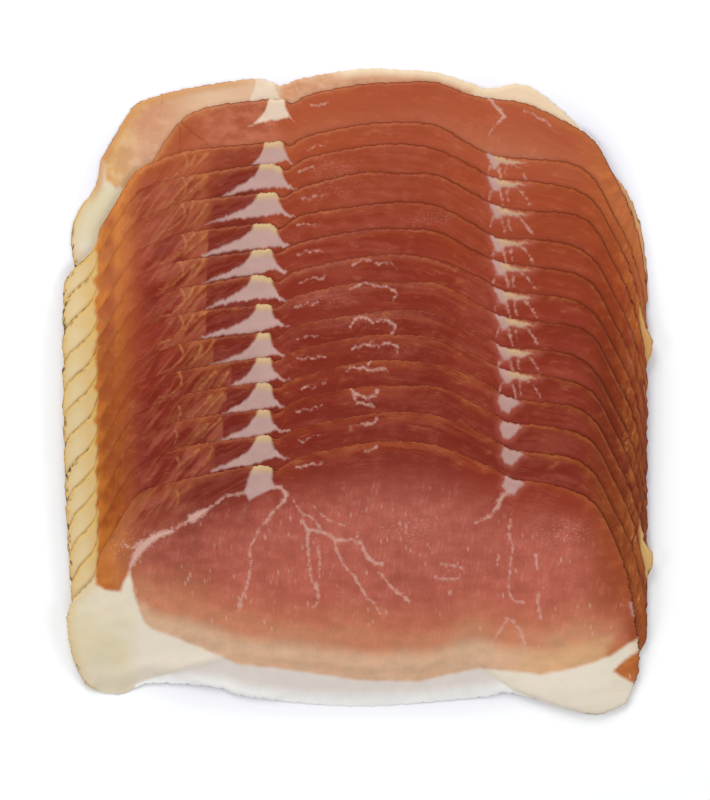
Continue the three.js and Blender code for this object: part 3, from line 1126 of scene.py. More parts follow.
    def heights(self, plan: Field, rim: Field, below: Field) -> tuple[Field, Field]:
        """Heights of the upper and lower face.

        The upper face comes down to the rim over the taper's width by a quarter ellipse, and the rim lies
        a little above the lower face. The exposed upper edge stands up in places, and the upper face is a
        little uneven. Where the edge clings to the slice below the taper is wider and nearly straight.

        Args:
            plan: The grid of points.
            rim: Distance to the outline.
            below: Distance below the upper edge.

        Returns:
            The two heights, as rows by columns.
        """
        x, y = plan[..., 0], plan[..., 1]
        floor = self.fan.underside(self.number, x, y)
        layers = self.fan.layers_below(self.number, x, y)
        lower = floor - self.filling * np.clip(layers, 0, 1)
        upper = floor + self.fan.thickness
        waves = Waves(SEED + 3 * self.number, (9.0, 14.0, 23.0, 37.0)).along(x)
        crest = self.crest * np.clip(self.crest_share + waves, 0, 1) * bell(below, self.crest_reach)
        melt = self.melt(x)
        level = self.left_crest + (1 - self.left_crest) * smooth_ramp(x, *self.crest_zone)
        crest = crest * (1 - melt) * level
        uneven = Waves(SEED, (5.0, 8.0, 13.0, 21.0)).over(x, y - self.fan.shift(self.number))
        upper = upper + (crest + self.unevenness * uneven) * smooth_ramp(rim, 0, self.calm_rim)
        if self.is_front:
            upper = upper + self.relief(x, y)
        low = self.edge_height * (1 - self.melted_edge * melt)
        edge = lower + low
        share = np.clip(rim / (self.taper + self.melted_taper * melt), 0, 1)
        fall = np.sqrt(np.clip(1 - (1 - share) ** 2, 0, 1))
        fall = fall + (smooth_ramp(share, 0, 1) - fall) * melt
        return edge + (upper - edge) * fall, edge - low * smooth_ramp(rim, 0, self.rim_width)

    def relief(self, x: Field, y: Field) -> Field:
        """What the layers below press up into the front slice: steps round its single fat, and pleats.

        Args:
            x: Places across.
            y: Places along.

        Returns:
            The height to add.
        """
        depth = self.marbling.single_fat.depth(x, y)
        low = smooth_ramp(-y, *self.relief_zone)
        step = smooth_ramp(-depth, *self.step_rise) * smooth_ramp(depth, *self.step_fade) * low
        pleats = sum(
            share * bell(x - place + slant * (y - along), reach)
            for place, slant, along, reach, share in self.pleats
        )
        return self.step_height * step + self.pleat_height * pleats * low

    def fields(self, plan: Field, rim: Field, below: Field) -> SliceFields:
        """What the finish reads, from each point's place in slice coordinates.

        Args:
            plan: The grid of points.
            rim: Distance to the outline.
            below: Distance below the upper edge.

        Returns:
            The fields, one number or place for each grid point.
        """
        x, y = plan[..., 0], plan[..., 1]
        own_x = x - self.outline.drift(self.number, x)
        own_y = self.outline.crown(self.fan.count, own_x) - below
        if self.is_front:
            own_x, own_y = x, y
        band = self.gold_band + self.left_band * smooth_ramp(-own_x, *self.left_band_zone)
        band = band + self.right_band * smooth_ramp(own_x, *self.right_band_zone)
        edge = np.exp(-((rim / band) ** 1.5))
        if self.number > self.whole_bands:
            edge = edge * smooth_ramp(own_x, *self.bare_left)
        right = smooth_ramp(own_x, *self.gold_right)
        if self.is_front:
            right = right * (1 - self.front_loss * smooth_ramp(-own_y, *self.front_right))
        outer = smooth_ramp(-own_x, *self.gold_left) + self.right_share * right
        marbling, number = self.marbling, self.number
        single = marbling.single_fat.depth(own_x, own_y) if self.is_front else np.full(x.shape, NO_FAT)
        low_end = np.maximum(smooth_ramp(own_y, *self.low_gold), not self.is_front)
        return SliceFields(
            place=np.stack([own_x, own_y, np.full(x.shape, SLICE_SPACING * number)], -1),
            rim=rim,
            below=below,
            cover=marbling.lean_layers(number, x, y),
            seam=marbling.seam_fat(number, own_x, own_y),
            corner=marbling.corner_fat(number, own_x, own_y),
            single=single,
            vein=marbling.veins(number, own_x, own_y),
            gilt=marbling.gilt(number, own_x, own_y),
            gold=np.clip(np.maximum(edge, outer), 0, 1) * low_end,
            lobe=marbling.past_fingers(number, own_x),
            sheen=marbling.sheen(number, own_x, own_y),
        )

    def faces(self, rows: int, columns: int) -> list[list[int]]:
        """Faces of the closed sheet over its numbered vertices.

        The upper face has every grid point. The lower face has every second one, apart from the rim,
        which both share, and its outermost faces take in the rim's points between.

        Args:
            rows: Number of rows of cells, even.
            columns: Number of columns of cells, even.

        Returns:
            The vertices of each face, counter-clockwise as seen from outside.
        """
        top = np.arange((rows + 1) * (columns + 1)).reshape(rows + 1, columns + 1)
        inner_rows, inner_columns = rows // 2 - 1, columns // 2 - 1
        low = top.size + np.arange(inner_rows * inner_columns).reshape(inner_rows, inner_columns)
        r, c = 2 * np.arange(inner_rows - 1) + 2, 2 * np.arange(inner_columns - 1) + 2
        parts = [
            (top[:-1, :-1], top[1:, :-1], top[1:, 1:], top[:-1, 1:]),
            (low[:-1, :-1], low[:-1, 1:], low[1:, 1:], low[1:, :-1]),
            (top[0, c], top[0, c + 1], top[0, c + 2], low[0, 1:], low[0, :-1]),
            (low[-1, :-1], low[-1, 1:], top[rows, c + 2], top[rows, c + 1], top[rows, c]),
            (top[r + 2, 0], top[r + 1, 0], top[r, 0], low[:-1, 0], low[1:, 0]),
            (low[:-1, -1], top[r, columns], top[r + 1, columns], top[r + 2, columns], low[1:, -1]),
            (top[2, 0], top[1, 0], top[0, 0], top[0, 1], top[0, 2], low[0, 0]),
            (low[0, -1], top[0, -3], top[0, -2], top[0, -1], top[1, -1], top[2, -1]),
            (top[-3, -1], top[-2, -1], top[-1, -1], top[-1, -2], top[-1, -3], low[-1, -1]),
            (low[-1, 0], top[-1, 2], top[-1, 1], top[-1, 0], top[-2, 0], top[-3, 0]),
        ]
        faces: list[list[int]] = []
        for part in parts:
            faces.extend(np.stack(part, -1).reshape(-1, len(part)).tolist())
        return faces

    def build(self, finish: bpy.types.Material) -> bpy.types.Object:
        """Makes the slice's object, with its fields as attributes of its mesh.

        Args:
            finish: The material of the whole slice.

        Returns:
            The object, at the origin with its place in its mesh.
        """
        plan = self.plan()
        rows, columns = plan.shape[0] - 1, plan.shape[1] - 1
        rim = self.rim_distance(plan)
        below = np.maximum(0, self.outline.crown(self.number, plan[..., 0]) - plan[..., 1])
        upper, lower = self.heights(plan, rim, below)
        inner = (slice(2, rows - 1, 2), slice(2, columns - 1, 2))
        top = np.concatenate([plan, upper[..., None]], -1).reshape(-1, 3)
        low = np.concatenate([plan, lower[..., None]], -1)[inner].reshape(-1, 3)
        mesh = bpy.data.meshes.new(self.name)
        mesh.from_pydata(np.vstack([top, low]) * METRES, [], self.faces(rows, columns))
        mesh.polygons.foreach_set("use_smooth", np.ones(len(mesh.polygons), bool))
        fields = self.fields(plan, rim, below)
        for label, values in vars(fields).items():
            both = np.concatenate([values.reshape(top.shape[0], -1), values[inner].reshape(low.shape[0], -1)])
            is_vector = both.shape[1] == 3
            layer = mesh.attributes.new(label, "FLOAT_VECTOR" if is_vector else "FLOAT", "POINT")
            layer.data.foreach_set("vector" if is_vector else "value", both.astype(np.float32).ravel())
        mesh.materials.append(finish)
        mesh.update()
        piece = add_object(self.name, mesh)
        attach(piece, self.body)
        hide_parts(f"slice_{self.number:02d}")
        return piece

    @property
    def name(self) -> str:
        """Name of the slice's object."""
        return f"meat_slice_{self.number:02d}"


@dataclass(frozen=True)
class Pattern:
    """A pattern's features: their size along, across and through the slices, in millimetres, the
    direction that "along" points in, in degrees from +X, and how fine and rough the detail on them is."""

    size: tuple[float, float, float]
    turn: float = 0.0
    detail: float = 2.0
    roughness: float = 0.5


class Shader:
    """A material's node tree, built by expressions."""

    def __init__(self, name: str) -> None:
        """Starts an empty material."""
        self.material = bpy.data.materials.new(name)
        self.material.use_nodes = True
        self.tree = self.material.node_tree
        self.tree.nodes.clear()

    def node(self, kind: str, settings: Mapping[str, Any] | None = None, **inputs: Any) -> bpy.types.Node:
        """Adds a node.

        Args:
            kind: The node's type.
            settings: Its own settings, set first; "stops" holds the places and colours of a ramp.
            **inputs: Values or links of its sockets, named as in Blender with _ for a space, or by
                their place as in_0, in_1 and so on.

        Returns:
            The node.
        """
        made = self.tree.nodes.new(kind)
        for label, setting in (settings or {}).items():
            if label == "stops":
                self.set_stops(made.color_ramp, setting)
            else:
                setattr(made, label, setting)
        for label, value in inputs.items():
            is_place = label.startswith("in_")
            socket = made.inputs[int(label[3:]) if is_place else label.replace("_", " ")]
            source = value.socket if isinstance(value, Value) else value
            if isinstance(source, Socket):
                self.tree.links.new(source, socket)
            else:
                socket.default_value = source
        return made

    @staticmethod
    def set_stops(ramp: bpy.types.ColorRamp, stops: Tones) -> None:
        """Gives a colour ramp its stops.

        Args:
            ramp: The ramp.
            stops: Each stop's place and colour.
        """
        while len(ramp.elements) < len(stops):
            ramp.elements.new(1.0)
        for element, (place, color) in zip(ramp.elements, stops):
            element.position = place
            element.color = color

    def maths(self, operation: str, *values: "Value | float", clamp: bool = False) -> "Value":
        """Adds a Math node on some values."""
        inputs = {f"in_{i}": value for i, value in enumerate(values)}
        made = self.node("ShaderNodeMath", {"operation": operation, "use_clamp": clamp}, **inputs)
        return Value(self, made.outputs[0])

    def number(self, label: str) -> "Value":
        """Reads a number that the mesh carries."""
        return Value(self, self.node("ShaderNodeAttribute", {"attribute_name": label}).outputs["Fac"])

    def place(self, label: str) -> Socket:
        """Reads a place that the mesh carries."""
        return self.node("ShaderNodeAttribute", {"attribute_name": label}).outputs["Vector"]

    def joined(self, x: "Value", y: "Value", z: "Value") -> Socket:
        """A place made of its three parts."""
        return self.node("ShaderNodeCombineXYZ", X=x, Y=y, Z=z).outputs[0]

    def parted(self, place: Socket) -> "tuple[Value, ...]":
        """The three parts of a place."""
        return tuple(Value(self, part) for part in self.node("ShaderNodeSeparateXYZ", Vector=place).outputs)

    def stretched(self, place: Socket, pattern: Pattern) -> Socket:
        """Turns a place by a pattern's angle and divides it by the size of the features."""
        settings, angles = {"vector_type": "TEXTURE"}, (0, 0, math.radians(pattern.turn))
        made = self.node("ShaderNodeMapping", settings, Vector=place, Rotation=angles, Scale=pattern.size)
        return made.outputs[0]

    def noise(self, place: Socket, pattern: Pattern) -> "Value":
        """Soft noise from 0 to 1 with a pattern's features."""
        inputs = {"Vector": self.stretched(place, pattern), "Scale": 1.0}
        detail = {"Detail": pattern.detail, "Roughness": pattern.roughness}
        return Value(self, self.node("ShaderNodeTexNoise", **inputs, **detail).outputs[0])

    def ridges(self, place: Socket, pattern: Pattern, sharpness: float) -> "Value":
        """Thin lines, from 0 to 1, where soft noise crosses its middle; sharp ones fade faster beside it."""
        away = self.maths("ABSOLUTE", self.noise(place, pattern) - 0.5)
        return (1.0 - away * sharpness).clamped()

    def cells(self, place: Socket, pattern: Pattern) -> "Value":
        """Distance to the nearest of some scattered points, with cells of a pattern's size."""
        where = self.stretched(place, pattern)
        made = self.node("ShaderNodeTexVoronoi", {"feature": "F1"}, Vector=where, Scale=1.0)
        return Value(self, made.outputs["Distance"])

    def ramp(self, value: "Value", tones: Tones, whole: float) -> Socket:
        """The colour of a tone table at a value, where the table ends at the whole."""
        stops = [(part / whole, color) for part, color in tones]
        return self.node("ShaderNodeValToRGB", {"stops": stops}, Fac=value / whole).outputs["Color"]

    def mix(self, share: "Value | float", first: Any, second: Any) -> Socket:
        """Mixes two colours."""
        settings = {"data_type": "RGBA", "clamp_factor": True}
        return self.node("ShaderNodeMix", settings, in_0=share, in_6=first, in_7=second).outputs[2]

    def scaled(self, color: Socket, factor: "Value") -> Socket:
        """A colour made lighter or darker by a factor."""
        return self.node("ShaderNodeVectorMath", {"operation": "SCALE"}, in_0=color, Scale=factor).outputs[0]

    def surfaced(self, **inputs: Any) -> bpy.types.Material:
        """Ends the material with a surface of the given inputs."""
        surface = self.node("ShaderNodeBsdfPrincipled", **inputs)
        self.node("ShaderNodeOutputMaterial", Surface=surface.outputs[0])
        return self.material


class Value:
    """A number that varies over the surface, with arithmetic that adds Math nodes."""

    def __init__(self, shader: Shader, socket: Socket) -> None:
        """Wraps a node's output."""
        self.shader = shader
        self.socket = socket

    def __add__(self, other: "Value | float") -> "Value":
        """Sum."""
        return self.shader.maths("ADD", self, other)

    def __sub__(self, other: "Value | float") -> "Value":
        """Difference."""
        return self.shader.maths("SUBTRACT", self, other)

    def __rsub__(self, other: float) -> "Value":
        """Difference from a number."""
        return self.shader.maths("SUBTRACT", other, self)

    def __mul__(self, other: "Value | float") -> "Value":
        """Product."""
        return self.shader.maths("MULTIPLY", self, other)

    def __truediv__(self, other: "Value | float") -> "Value":
        """Quotient."""
        return self.shader.maths("DIVIDE", self, other)

    def __neg__(self) -> "Value":
        """Opposite."""
        return self.shader.maths("MULTIPLY", self, -1.0)

    __radd__ = __add__  # with a number in front, where the order makes no difference
    __rmul__ = __mul__

    def larger(self, other: "Value | float") -> "Value":
        """The larger of two values."""
        return self.shader.maths("MAXIMUM", self, other)

    def clamped(self) -> "Value":
        """The value kept between 0 and 1."""
        return self.shader.maths("ADD", self, 0.0, clamp=True)

    def rising(self, start: float, end: float) -> "Value":
        """A smooth step.

        Args:
            start: Where it is 0.
            end: Where it is 1, which may lie below the start.

        Returns:
            The step's value, from 0 to 1.
        """
        settings, flipped = {"interpolation_type": "SMOOTHSTEP"}, start > end
        reach = {"in_1": min(start, end), "in_2": max(start, end)}
        values = {"in_3": float(flipped), "in_4": float(not flipped)}
        made = self.shader.node("ShaderNodeMapRange", settings, in_0=self, **reach, **values)
        return Value(self.shader, made.outputs[0])


@dataclass(frozen=True)
class CuredMeat:
    """Cured lean meat with its fat, dried rim and veins, darker where more slices lie below."""

    name: str = "cured_meat"
    most_layers: float = 14.0
    # Lean meat near the dried upper rim and in the moist middle, each by the number of lean layers.
    dry_tones: Tones = tones(
        (1.0, 206, 148, 112), (2.0, 174, 86, 56), (3.2, 160, 72, 44), (5.0, 150, 64, 41),
        (7.0, 138, 52, 37), (9.5, 126, 45, 33),
    )
    moist_tones: Tones = tones(
        (1.0, 208, 168, 136), (2.0, 193, 125, 93), (3.0, 184, 106, 80), (4.0, 176, 92, 75),
        (7.0, 176, 93, 78), (10.0, 170, 88, 74),
    )
    # The slices' left and right ends, each by the slice's number.
    left_tones: Tones = tones(
        (1.0, 214, 168, 108), (2.0, 205, 138, 82), (3.0, 195, 118, 60), (6.0, 184, 106, 54),
        (7.5, 172, 95, 42), (10.0, 166, 87, 38), (12.0, 161, 84, 36), (14.0, 158, 80, 31),
        (15.0, 180, 108, 62),
    )
    right_tones: Tones = tones(
        (1.0, 214, 158, 106), (2.0, 190, 108, 62), (3.0, 176, 92, 52), (4.0, 164, 79, 43), (5.0, 152, 66, 36),
        (6.5, 140, 60, 32), (9.0, 126, 51, 25), (10.5, 120, 46, 23), (12.5, 136, 62, 32), (14.0, 146, 72, 36),
        (15.0, 158, 76, 44),
    )
    # Dark line of dried rind at the cut edge, with painted contact shade where a slice lies on the next.
    edge_line: Color = tone(104, 42, 18)
    edge_gold: Color = tone(172, 94, 48)
    middle_gold: Color = tone(156, 74, 40)
    amber: Color = tone(193, 116, 50)
    # Painted shade in the creases of the hindmost two slices.
    crease: Color = tone(146, 68, 34)
    lobe_dark: Color = tone(114, 37, 28)
    lobe_gold: Color = tone(142, 64, 39)
    lobe_pink: Color = tone(160, 86, 68)
    finger_stripe: Color = tone(148, 76, 66)
    gilt_tone: Color = tone(200, 138, 82)
    # Pale pink of the painted sheen on the lean, also used for the paler halo beside the seams.
    haze_tone: Color = tone(178, 98, 82)
    vein_tone: Color = tone(213, 169, 154)
    rind_tone: Color = tone(92, 42, 18)
    seam_yellow: Color = tone(208, 176, 128)
    seam_lilac: Color = tone(193, 158, 150)
    pale_fat: Color = tone(234, 213, 187)
    pale_edge: Color = tone(236, 213, 180)
    tan_tone: Color = tone(207, 157, 107)
    flush_tone: Color = tone(206, 126, 94)
    rope_fat: Color = tone(222, 199, 154)
    rope_gold: Color = tone(212, 172, 106)
    corner_fat: Color = tone(219, 205, 172)
    corner_white: Color = tone(229, 216, 202)
    corner_gold: Color = tone(210, 168, 88)
    single_fat: Color = tone(242, 239, 235)
    single_shade: Color = tone(216, 205, 196)
    pepper: Color = tone(45, 34, 26)
    # Patterns of the whole slice.
    grain: Pattern = Pattern((0.42, 0.42, 1.0), detail=3.0, roughness=0.65)
    mottle: Pattern = Pattern((5.0, 3.2, 4.0), detail=4.0, roughness=0.6)
    broad: Pattern = Pattern((26.0, 14.0, 9.0))
    fibre: Pattern = Pattern((0.9, 9.0, 2.0), turn=6.0, detail=3.0, roughness=0.65)
    weave: Pattern = Pattern((15.0, 1.3, 3.0), turn=3.0, detail=4.0, roughness=0.6)
    glints: Pattern = Pattern((0.5, 0.5, 0.5), detail=1.0)
    # Patterns of the left lobe.
    stripes: Pattern = Pattern((16.0, 2.0, 3.0), turn=27.0)
    slanted: Pattern = Pattern((15.0, 2.4, 3.0), turn=48.0)
    gilt_lines: Pattern = Pattern((26.0, 3.6, 3.0), turn=52.0)
    # Patterns of the outer ends.
    streaks: Pattern = Pattern((0.9, 8.0, 3.0), detail=3.0, roughness=0.6)
    upright: Pattern = Pattern((1.6, 14.0, 60.0), turn=-4.0, detail=4.0, roughness=0.6)
    blotches: Pattern = Pattern((8.0, 11.0, 24.0), turn=20.0, detail=2.5)
    rags: Pattern = Pattern((2.4, 7.0, 5.0), turn=14.0, detail=3.0, roughness=0.6)
    crumbs: Pattern = Pattern((1.5, 2.2, 5.0), turn=50.0, roughness=0.55)
    specks: Pattern = Pattern((1.1, 2.0, 2.0), turn=-30.0)
    # Patterns of the veins, thin fibres and speckles, the last partly fat and partly painted glints.
    beads: Pattern = Pattern((1.4, 1.4, 1.5))
    threads: Pattern = Pattern((9.0, 1.4, 3.0), turn=4.0)
    dashes: Pattern = Pattern((1.7, 4.2, 3.0), turn=5.0)
    dash_groups: Pattern = Pattern((7.0, 6.0, 5.0), detail=1.0)
    rays: Pattern = Pattern((1.4, 15.0, 3.0), turn=-14.0)
    speckles: Pattern = Pattern((0.9, 0.6, 1.0))
    # Relief and gloss.
    bump_strength: float = 0.3
    bump_height: float = 0.00025
    roughness: float = 0.45
    specular: float = 0.16

    def material(self) -> bpy.types.Material:
        """Builds the finish."""
        return MeatLayers(self).material()


class MeatLayers:
    """The nodes of the finish, one layer over the other."""

    def __init__(self, look: CuredMeat) -> None:
        """Adds the nodes that the layers share: places, the slice's own fields and the main patterns.

        Patterns that run along the strips are read at the place across and the way below the edge, and
        those of the outer ends at the way from the outline.

        Args:
            look: The tones and patterns.
        """
        self.look = look
        self.shader = s = Shader(look.name)
        self.place = s.place("place")
        self.x, self.y, z = s.parted(self.place)
        self.rim, self.below, self.cover = s.number("rim"), s.number("below"), s.number("cover")
        self.gold, self.sheen = s.number("gold"), s.number("sheen")
        self.strip, self.beside = s.joined(self.x, self.below, z), s.joined(self.rim, self.y, z)
        self.number = z / SLICE_SPACING
        # 1 in one part and 0 elsewhere: the hindmost slice, the front one and the right half.
        self.hindmost, self.front = self.number.rising(1.8, 1.2), self.number.rising(14.2, 14.8)
        self.right = self.x.rising(0.0, 1.0)
        # Share of moist inner meat.
        self.inner = self.below.rising(4.0, 27.0).larger(self.front * self.below.rising(1.0, 23.0))
        self.grain, self.mottle = s.noise(self.place, look.grain), s.noise(self.place, look.mottle)
        self.broad, self.fibre = s.noise(self.place, look.broad), s.noise(self.place, look.fibre)
        self.weave = s.noise(self.strip, look.weave)

    def material(self) -> bpy.types.Material:
        """Lays the layers over each other, and adds the relief and the gloss.

        Returns:
            The material.
        """
        s, look = self.shader, self.look
        color = self.lean()
        for layer in (self.lobe, self.ends, self.edge, self.veins, self.fat, self.rind):
            color = layer(color)
        glint = s.noise(self.place, look.glints) * self.sheen.larger(self.broad.rising(0.5, 0.7) * 0.4)
        fine = self.fibre * self.inner + self.weave * (1.0 - self.inner)
        height = self.grain * 0.5 + fine * 0.5 + glint
        bump = s.node("ShaderNodeBump", Strength=look.bump_strength, Distance=look.bump_height, Height=height)
        return s.surfaced(
            Base_Color=color,
            Roughness=look.roughness + (self.mottle - 0.5) * 0.25,
            Normal=bump.outputs[0],
            Specular_IOR_Level=look.specular,
        )

    def lean(self) -> Socket:
        """Lean meat by the layers below: dry near the edge, moist further in, with painted sheen and fine
        fibres.

        Returns:
            Its colour.
        """
        s, look = self.shader, self.look
        x, cover, inner, broad, mottle = self.x, self.cover, self.inner, self.broad, self.mottle
        side = x.rising(14.0, 40.0) * 0.16 + (-x).rising(50.0, 66.0) * 0.1
        depth = cover * (1.0 - side * (1.0 - inner)) + (broad - 0.5) * 1.4 + (mottle - 0.5) * (1.6 - inner)
        dry, moist = (s.ramp(depth, table, look.most_layers) for table in (look.dry_tones, look.moist_tones))
        color = s.mix(inner, dry, moist)
        tan = self.front * x.rising(38.0, 60.0) * (cover + (broad - 0.5) * 1.2).rising(2.1, 1.3)
        color = s.mix(tan * 0.6, color, look.tan_tone)
        second = self.number.rising(1.2, 1.8) * self.number.rising(2.8, 2.2)
        flush = second * x.rising(-52.0, -44.0) * x.rising(-26.0, -32.0) * mottle.rising(0.2, 0.7)
        color = s.mix(flush * 0.75, color, look.flush_tone)
        # Painted sheen: pale pink patches of painted reflection, broad ones and those of the sheen patches.
        haze = (broad + self.weave * 0.7 + mottle * 0.5).rising(1.0, 1.35)
        color = s.mix(haze * 0.2 * cover.rising(1.5, 3.0), color, look.haze_tone)
        color = s.mix(self.sheen * mottle.rising(0.2, 0.7) * 0.4, color, look.haze_tone)
        dusk = self.front * x.rising(-38.0, -52.0) * self.y.rising(-64.0, -50.0)
        light = 1.0 + (mottle - 0.5) * (0.28 + inner * 0.35) + (broad - 0.5) * inner * 0.3
        light = light - dusk * 0.16 + self.front * x.rising(36.0, 46.0) * 0.06
        light = light + (self.weave - 0.5) * 0.25 * (1.0 - inner)
        fine = (self.fibre - 0.5) * 0.36 * inner + (self.grain - 0.5) * (0.22 + inner * 0.3)
        return s.scaled(color, light + fine * (0.25 + cover.rising(1.5, 5.0) * 0.75))

    def lobe(self, color: Socket) -> Socket:
        """The left lobe: dark fingers by the wedge, then golden, pink and dark streaks down and left.

        Args:
            color: The colour so far.

        Returns:
            The colour with the lobe's streaks.
        """
        s, look = self.shader, self.look
        left = -self.x
        past = s.number("lobe") + (self.broad - 0.5) * 1.6
        near = (1.0 - self.inner) * self.cover.rising(1.8, 4.0)
        fingers = left.rising(29.0, 33.0) * past.rising(0.3, -0.3) * near
        flag = past.rising(-0.3, 0.3) * past.rising(11.0, 3.0) * near
        beyond = past.rising(3.0, 9.0) * left.rising(68.0, 60.0) * near
        stripes = s.ridges(self.place, look.stripes, 9.0)
        slanted = s.noise(self.place, look.slanted)
        lines = s.ridges(self.place, look.gilt_lines, 16.0)
        color = s.mix(fingers * 0.85, color, look.lobe_dark)
        color = s.mix(fingers * stripes * 0.4, color, look.finger_stripe)
        golden = s.mix(self.below.rising(1.0, 5.0), look.lobe_gold, look.lobe_pink)
        color = s.mix(flag * (0.16 + slanted.rising(0.35, 0.65) * 0.42), color, golden)
        color = s.mix((beyond + flag * 0.8) * slanted.rising(0.56, 0.38) * 0.6, color, look.lobe_dark)
        color = s.mix(beyond * slanted.rising(0.52, 0.66) * 0.6, color, look.lobe_pink)
        return s.mix((flag + beyond * 0.6) * lines * 0.2, color, look.gilt_tone)

    def ends(self, color: Socket) -> Socket:
        """The golden outer ends: blotched at the left, and frayed with creamy crumbs at the right.

        Args:
            color: The colour so far.

        Returns:
            The colour with the ends.
        """
        s, look = self.shader, self.look
        x, y, number, mottle = self.x, self.y, self.number, self.mottle
        tables = (look.left_tones, look.right_tones)
        left_end, right_end = (s.ramp(number, table, SLICE_TOTAL) for table in tables)
        outer = s.mix(x.rising(-1.0, 1.0), left_end, right_end)
        streak = s.noise(self.beside, look.streaks) - 0.5
        upright = s.noise(self.place, look.upright) - 0.5
        blotch = s.noise(self.place, look.blotches) - 0.5
        at_left = x.rising(-50.0, -60.0)
        uneven = (mottle - 0.5) * (0.9 - at_left * 0.4) + (blotch * 1.6 + upright * 0.7) * at_left
        share = self.gold * (0.2 + (x * x).rising(900.0, 4200.0) * 0.75 + uneven)
        outer = s.mix(x.rising(-70.0, -77.0) * blotch.rising(-0.12, 0.1) * 0.6, outer, look.amber)
        patchy = 0.35 - at_left * 0.2 + x.rising(58.0, 70.0) * 0.45
        shade = 0.92 + at_left * 0.09 + (mottle - 0.5) * patchy + streak * 0.25
        shade = shade + (blotch * 0.5 + upright * 0.3) * at_left
        color = s.mix(share, color, s.scaled(outer, shade))
        amber = s.mix(mottle.rising(0.25, 0.75), look.edge_gold, look.amber)
        frayed = x.rising(76.0, 83.0) * number.rising(1.0, 3.0) * (1.0 - self.front)
        ragged = s.noise(self.place, look.rags)
        color = s.mix(frayed * ragged.rising(0.4, 0.62) * 0.5, color, amber)
        crumbs = s.noise(self.place, look.crumbs).rising(0.61, 0.7) * ragged.rising(0.4, 0.5)
        color = s.mix(frayed * crumbs * 0.75, color, look.gilt_tone)
        low_left = (-x).rising(71.0, 75.5) * y.rising(-46.0, -57.0)
        low_right = x.rising(73.0, 77.0) * y.rising(-73.0, -79.0)
        return s.mix((low_left + low_right) * self.front * 0.8, color, amber)

    def edge(self, color: Socket) -> Socket:
        """The cut edge: a thin line, dark on the rear slices and at the right, golden on the others.

        Args:
            color: The colour so far.

        Returns:
            The colour with the edge.
        """
        s, look = self.shader, self.look
        x, number, rim, mottle = self.x, self.number, self.rim, self.mottle
        rear = number.rising(10.0, 7.0).larger(x.rising(56.0, 66.0))
        dim = x.rising(-26.0, -20.0) * x.rising(4.0, -8.0) * number.rising(6.5, 9.5) * 0.7
        left = ((-x).rising(42.0, 52.0) * (0.5 + number.rising(2.5, 4.5) * 0.45)).larger(dim)
        shown = (1.0 - self.hindmost) * (1.0 - left)
        haze = x.rising(-14.0, 6.0) * x.rising(44.0, 30.0) * self.below.rising(5.0, 0.8)
        haze = haze * number.rising(4.0, 8.0) * self.weave.rising(0.3, 0.7)
        color = s.mix(haze * 0.55, color, look.middle_gold)
        band = rim.rising(1.8, 0.3) * (mottle + self.weave).rising(0.85, 1.2) * shown
        color = s.mix(band * 0.3, color, look.edge_gold)
        # The thin rim line; where dark it is dried rind with painted contact shade.
        dark = rim.rising(0.45, 0.1) * (0.3 + mottle * 0.8) * shown
        color = s.mix(dark * (1.0 - rear) * 0.4, color, look.edge_gold)
        frayed = x.rising(76.0, 84.0) * mottle.rising(0.7, 0.4)
        return s.mix(dark * rear * (1.0 - frayed * 0.8), color, look.edge_line)

    def veins(self, color: Socket) -> Socket:
        """The streaks, veins, thin fibres and speckles (partly painted glints) that lie on the lean.

        Args:
            color: The colour so far.

        Returns:
            The colour with all of them.
        """
        s, look = self.shader, self.look
        place, inner, mottle, grain = self.place, self.inner, self.mottle, self.grain
        beads = s.noise(place, look.beads) - 0.5
        creased = self.number.rising(2.6, 2.4)
        gilt = (s.number("gilt") + (grain - 0.5) * 0.3 + beads * 0.9).rising(-0.45, 0.3)
        # On the hindmost two slices the streaks are the creases, in painted shade.
        gilt_color = s.mix(creased, look.gilt_tone, look.crease)
        color = s.mix(gilt * (0.1 + mottle * 0.6 + creased * 0.3), color, gilt_color)
        threads = s.ridges(self.strip, look.threads, 18.0) * (1.0 - inner) * mottle.rising(0.45, 0.75)
        color = s.mix(threads * 0.22, color, look.gilt_tone)
        width = s.number("vein")
        vein = (width + (grain - 0.5) * 0.5 + beads * 2.2 + self.front * 0.12).rising(-0.5, 0.4)
        color = s.mix(vein * (0.35 + mottle * 0.4 + width.rising(0.1, 0.5) * 0.35), color, look.vein_tone)
        dashes = s.cells(place, look.dashes).rising(0.3, 0.1)
        dashes = dashes * s.noise(place, look.dash_groups).rising(0.46, 0.62)
        dashes = dashes * inner.rising(0.3, 0.9) * (0.2 + mottle * 0.5)
        rays = s.ridges(place, look.rays, 16.0) * inner.rising(0.1, 0.6) * mottle.rising(0.4, 0.7)
        # Speckles: pale dots, partly fat specks, partly painted glints, most in the sheen patches.
        moist = (self.sheen + mottle.rising(0.55, 0.75) * 0.15) * grain.rising(0.4, 0.55)
        speckles = s.cells(place, look.speckles).rising(0.36, 0.14) * moist * (0.55 + self.front * 0.45)
        return s.mix(dashes.larger(speckles * 0.8).larger(rays * 0.15), color, look.vein_tone)

